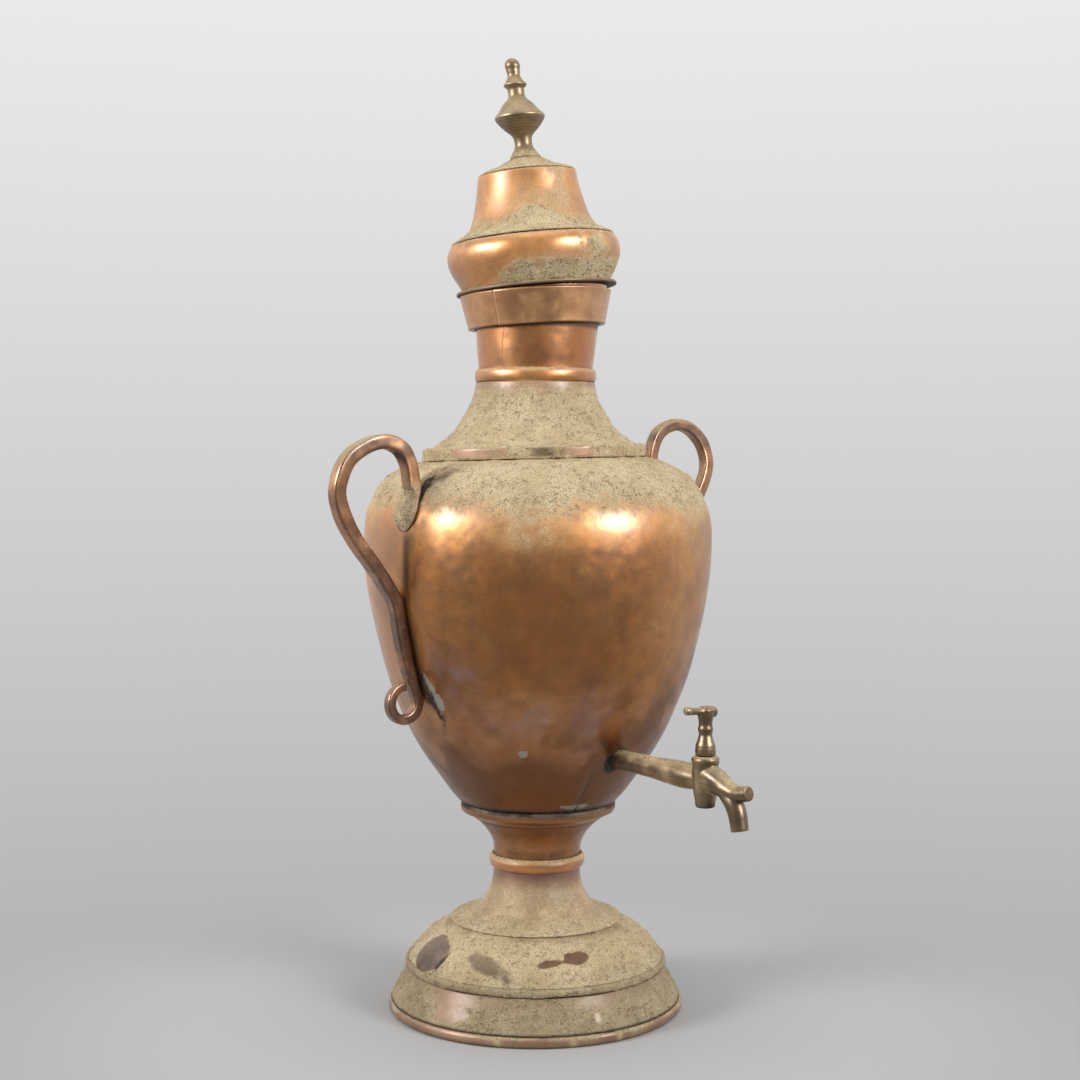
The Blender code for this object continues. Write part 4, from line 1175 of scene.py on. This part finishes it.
def make_key():
    """The tap's plug with its stem and T bar, closed: the T bar lies across the spout."""
    upright = spun([(2.9, 198.6), (2.9, 202.8), (5.25, 202.8), (6.2, 239.4), (7.8, 239.9),
                    (8.0, 242), (7.9, 244.5)]
                   + smooth([(7.5, 247.8), (5.9, 252.4), (5.1, 256.0), (5.9, 259.6),
                             (5.2, 263.0), (5.4, 266.6)], 5)
                   + [(6.2, 270.4), (6.3, 274.6), (4.4, 277.2), (1.0, 277.7)])
    bar, bar_faces = spun(smooth([(1.0, -22.2), (2.6, -21.8), (3.3, -19.4), (2.8, -12),
                                  (3.2, -7.2), (4.4, -3.4), (4.8, 3), (4.6, 7.5), (3.4, 10),
                                  (1.0, 10.7)], 4), 32)
    turn = np.array(Matrix.Rotation(math.radians(96), 3, "Y"))
    laid = bar @ turn.T + np.array((0, 0, 273.2))
    points, normals, faces = cast([upright, (laid, bar_faces)], 0.34, 2)
    wave = layered(points, 6, 3, 84)
    up = normals[:, 2]
    marks = {"dust": np.clip(0.45 * ramp(up + 0.8 * (wave - 0.5), 0.2, 0.9), 0, 1),
             "rub": 0.5 * ramp(np.abs(points[:, 0]), 12, 20) + 0.3 * ramp(wave, 0.5, 0.65),
             # downward faces are darkened as painted shade; the joint at the washer gets grime
             "grime": 0.45 * bump(points[:, 2], 240.5, 1.6) + 0.3 * ramp(up, -0.2, -0.9)}
    at_key = np.array(AXIS) + np.array((0, -TAP_REACH, 0))
    brass_piece("tap_key", points, normals, faces, marks, "tap_key", at_key)


make_tap()
make_key()
for node, material in (("body_floor", TINNED), ("tap_back_nut", OLD_BRASS),
                       ("finial_nut", OLD_BRASS), ("tap_key_washer", OLD_BRASS),
                       ("tap_key_nut", OLD_BRASS)):
    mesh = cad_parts[node].data
    mesh.materials.clear()
    mesh.materials.append(material)


# ---------------------------------------------------------------- floor, light and camera
ROOM_LIGHT = 0.34        # how bright the room in front is, against the wall behind
FLOOR_RADIUS, FLOOR_GREY, FLOOR_FADE = 0.9, 0.40, (0.24, 0.52)
CAMERA_AWAY, CAMERA_HEIGHT = 1.531, 0.465
CAMERA_DIP, CAMERA_ASIDE = math.radians(2.48), math.atan(2 / 1800)
LIGHTS_AIM = Vector((0, 0, 0.42))


def make_floor():
    """A plain disc under the still that fades out to the backdrop."""
    rings, count = 24, 96
    radii = np.linspace(0.02, FLOOR_RADIUS, rings)
    wheel = round_ring(count)
    points = np.array([[(r * x, r * y, 0) for x, y in wheel] for r in radii]).reshape(-1, 3)
    mesh = bpy.data.meshes.new("floor")
    mesh.from_pydata((points + np.array(AXIS) * MM).tolist(), [],
                     torus_faces(rings, count, ends=True) + [list(range(count))[::-1]])
    floor = bpy.data.objects.new("floor", mesh)
    bpy.context.scene.collection.objects.link(floor)
    g = Graph("floor")
    away = g.make("ShaderNodeVectorMath", operation="DISTANCE")
    g.feed(away.inputs[0], g.place)
    away.inputs[1].default_value = (AXIS.x * MM, AXIS.y * MM, 0)
    g.shader.inputs["Base Color"].default_value = (FLOOR_GREY,) * 3 + (1,)
    g.shader.inputs["Roughness"].default_value = 0.9
    g.feed(g.shader.inputs["Alpha"], g.step(away.outputs["Value"], *FLOOR_FADE, 1, 0))
    mesh.materials.append(g.material)


def make_backdrop():
    """A soft grey studio wall behind the still, lighter above, and a dimmer room in front."""
    world = bpy.data.worlds.new("studio")
    bpy.context.scene.world = world
    world.use_nodes = True
    tree = world.node_tree
    direction = tree.nodes.new("ShaderNodeTexCoord").outputs["Generated"]
    split = tree.nodes.new("ShaderNodeSeparateXYZ")
    tree.links.new(direction, split.inputs[0])
    facing = tree.nodes.new("ShaderNodeVectorMath")
    facing.operation = "DOT_PRODUCT"
    front = math.radians(FRONT)
    facing.inputs[1].default_value = (math.cos(front), math.sin(front), 0)
    tree.links.new(direction, facing.inputs[0])

    def spread(source, low, high, start, stop, kind="LINEAR"):
        node = tree.nodes.new("ShaderNodeMapRange")
        node.interpolation_type = kind
        for socket, number in zip(list(node.inputs)[1:], (low, high, start, stop)):
            socket.default_value = number
        tree.links.new(source, node.inputs[0])
        return node.outputs["Result"]

    wall = spread(split.outputs["Z"], -0.24, 0.25, 0.47, 0.83)
    room = spread(facing.outputs["Value"], -0.35, 0.45, 1.0, ROOM_LIGHT, "SMOOTHSTEP")
    shade = tree.nodes.new("ShaderNodeMath")
    shade.operation = "MULTIPLY"
    tree.links.new(wall, shade.inputs[0])
    tree.links.new(room, shade.inputs[1])
    tree.links.new(shade.outputs[0], tree.nodes["Background"].inputs["Color"])


def point_at(thing, spot, target):
    thing.location = spot
    thing.rotation_euler = (Vector(target) - Vector(spot)).to_track_quat("-Z", "Y").to_euler()
    bpy.context.scene.collection.objects.link(thing)


def softbox(name, psi, distance, height, width, tall, power):
    """A square light at a direction round the pot, aimed at its middle."""
    light = bpy.data.lights.new(name, "AREA")
    light.shape, light.size, light.size_y, light.energy = "RECTANGLE", width, tall, power
    turn = math.radians(FRONT + psi)
    spot = AXIS * MM + Vector((math.cos(turn) * distance, math.sin(turn) * distance, height))
    point_at(bpy.data.objects.new(name, light), spot, AXIS * MM + LIGHTS_AIM)


def make_camera():
    front = math.radians(FRONT)
    toward = Vector((math.cos(front), math.sin(front), 0))
    spot = AXIS * MM + toward * CAMERA_AWAY + Vector((0, 0, CAMERA_HEIGHT))
    look = Matrix.Rotation(-CAMERA_ASIDE, 3, "Z") @ -toward
    look.z = -math.tan(CAMERA_DIP)
    data = bpy.data.cameras.new("camera")
    data.lens, data.sensor_width = 60, 36
    camera = bpy.data.objects.new("camera", data)
    point_at(camera, spot, spot + look)
    bpy.context.scene.camera = camera


make_floor()
make_backdrop()
softbox("window_left", -64, 2.2, 1.25, 0.8, 0.75, 40)
softbox("window_right", 51, 2.2, 1.25, 0.8, 0.75, 40)
softbox("overhead", 0, 0.3, 2.4, 1.6, 1.6, 10)
make_camera()
bpy.context.scene.view_settings.view_transform = "Standard"
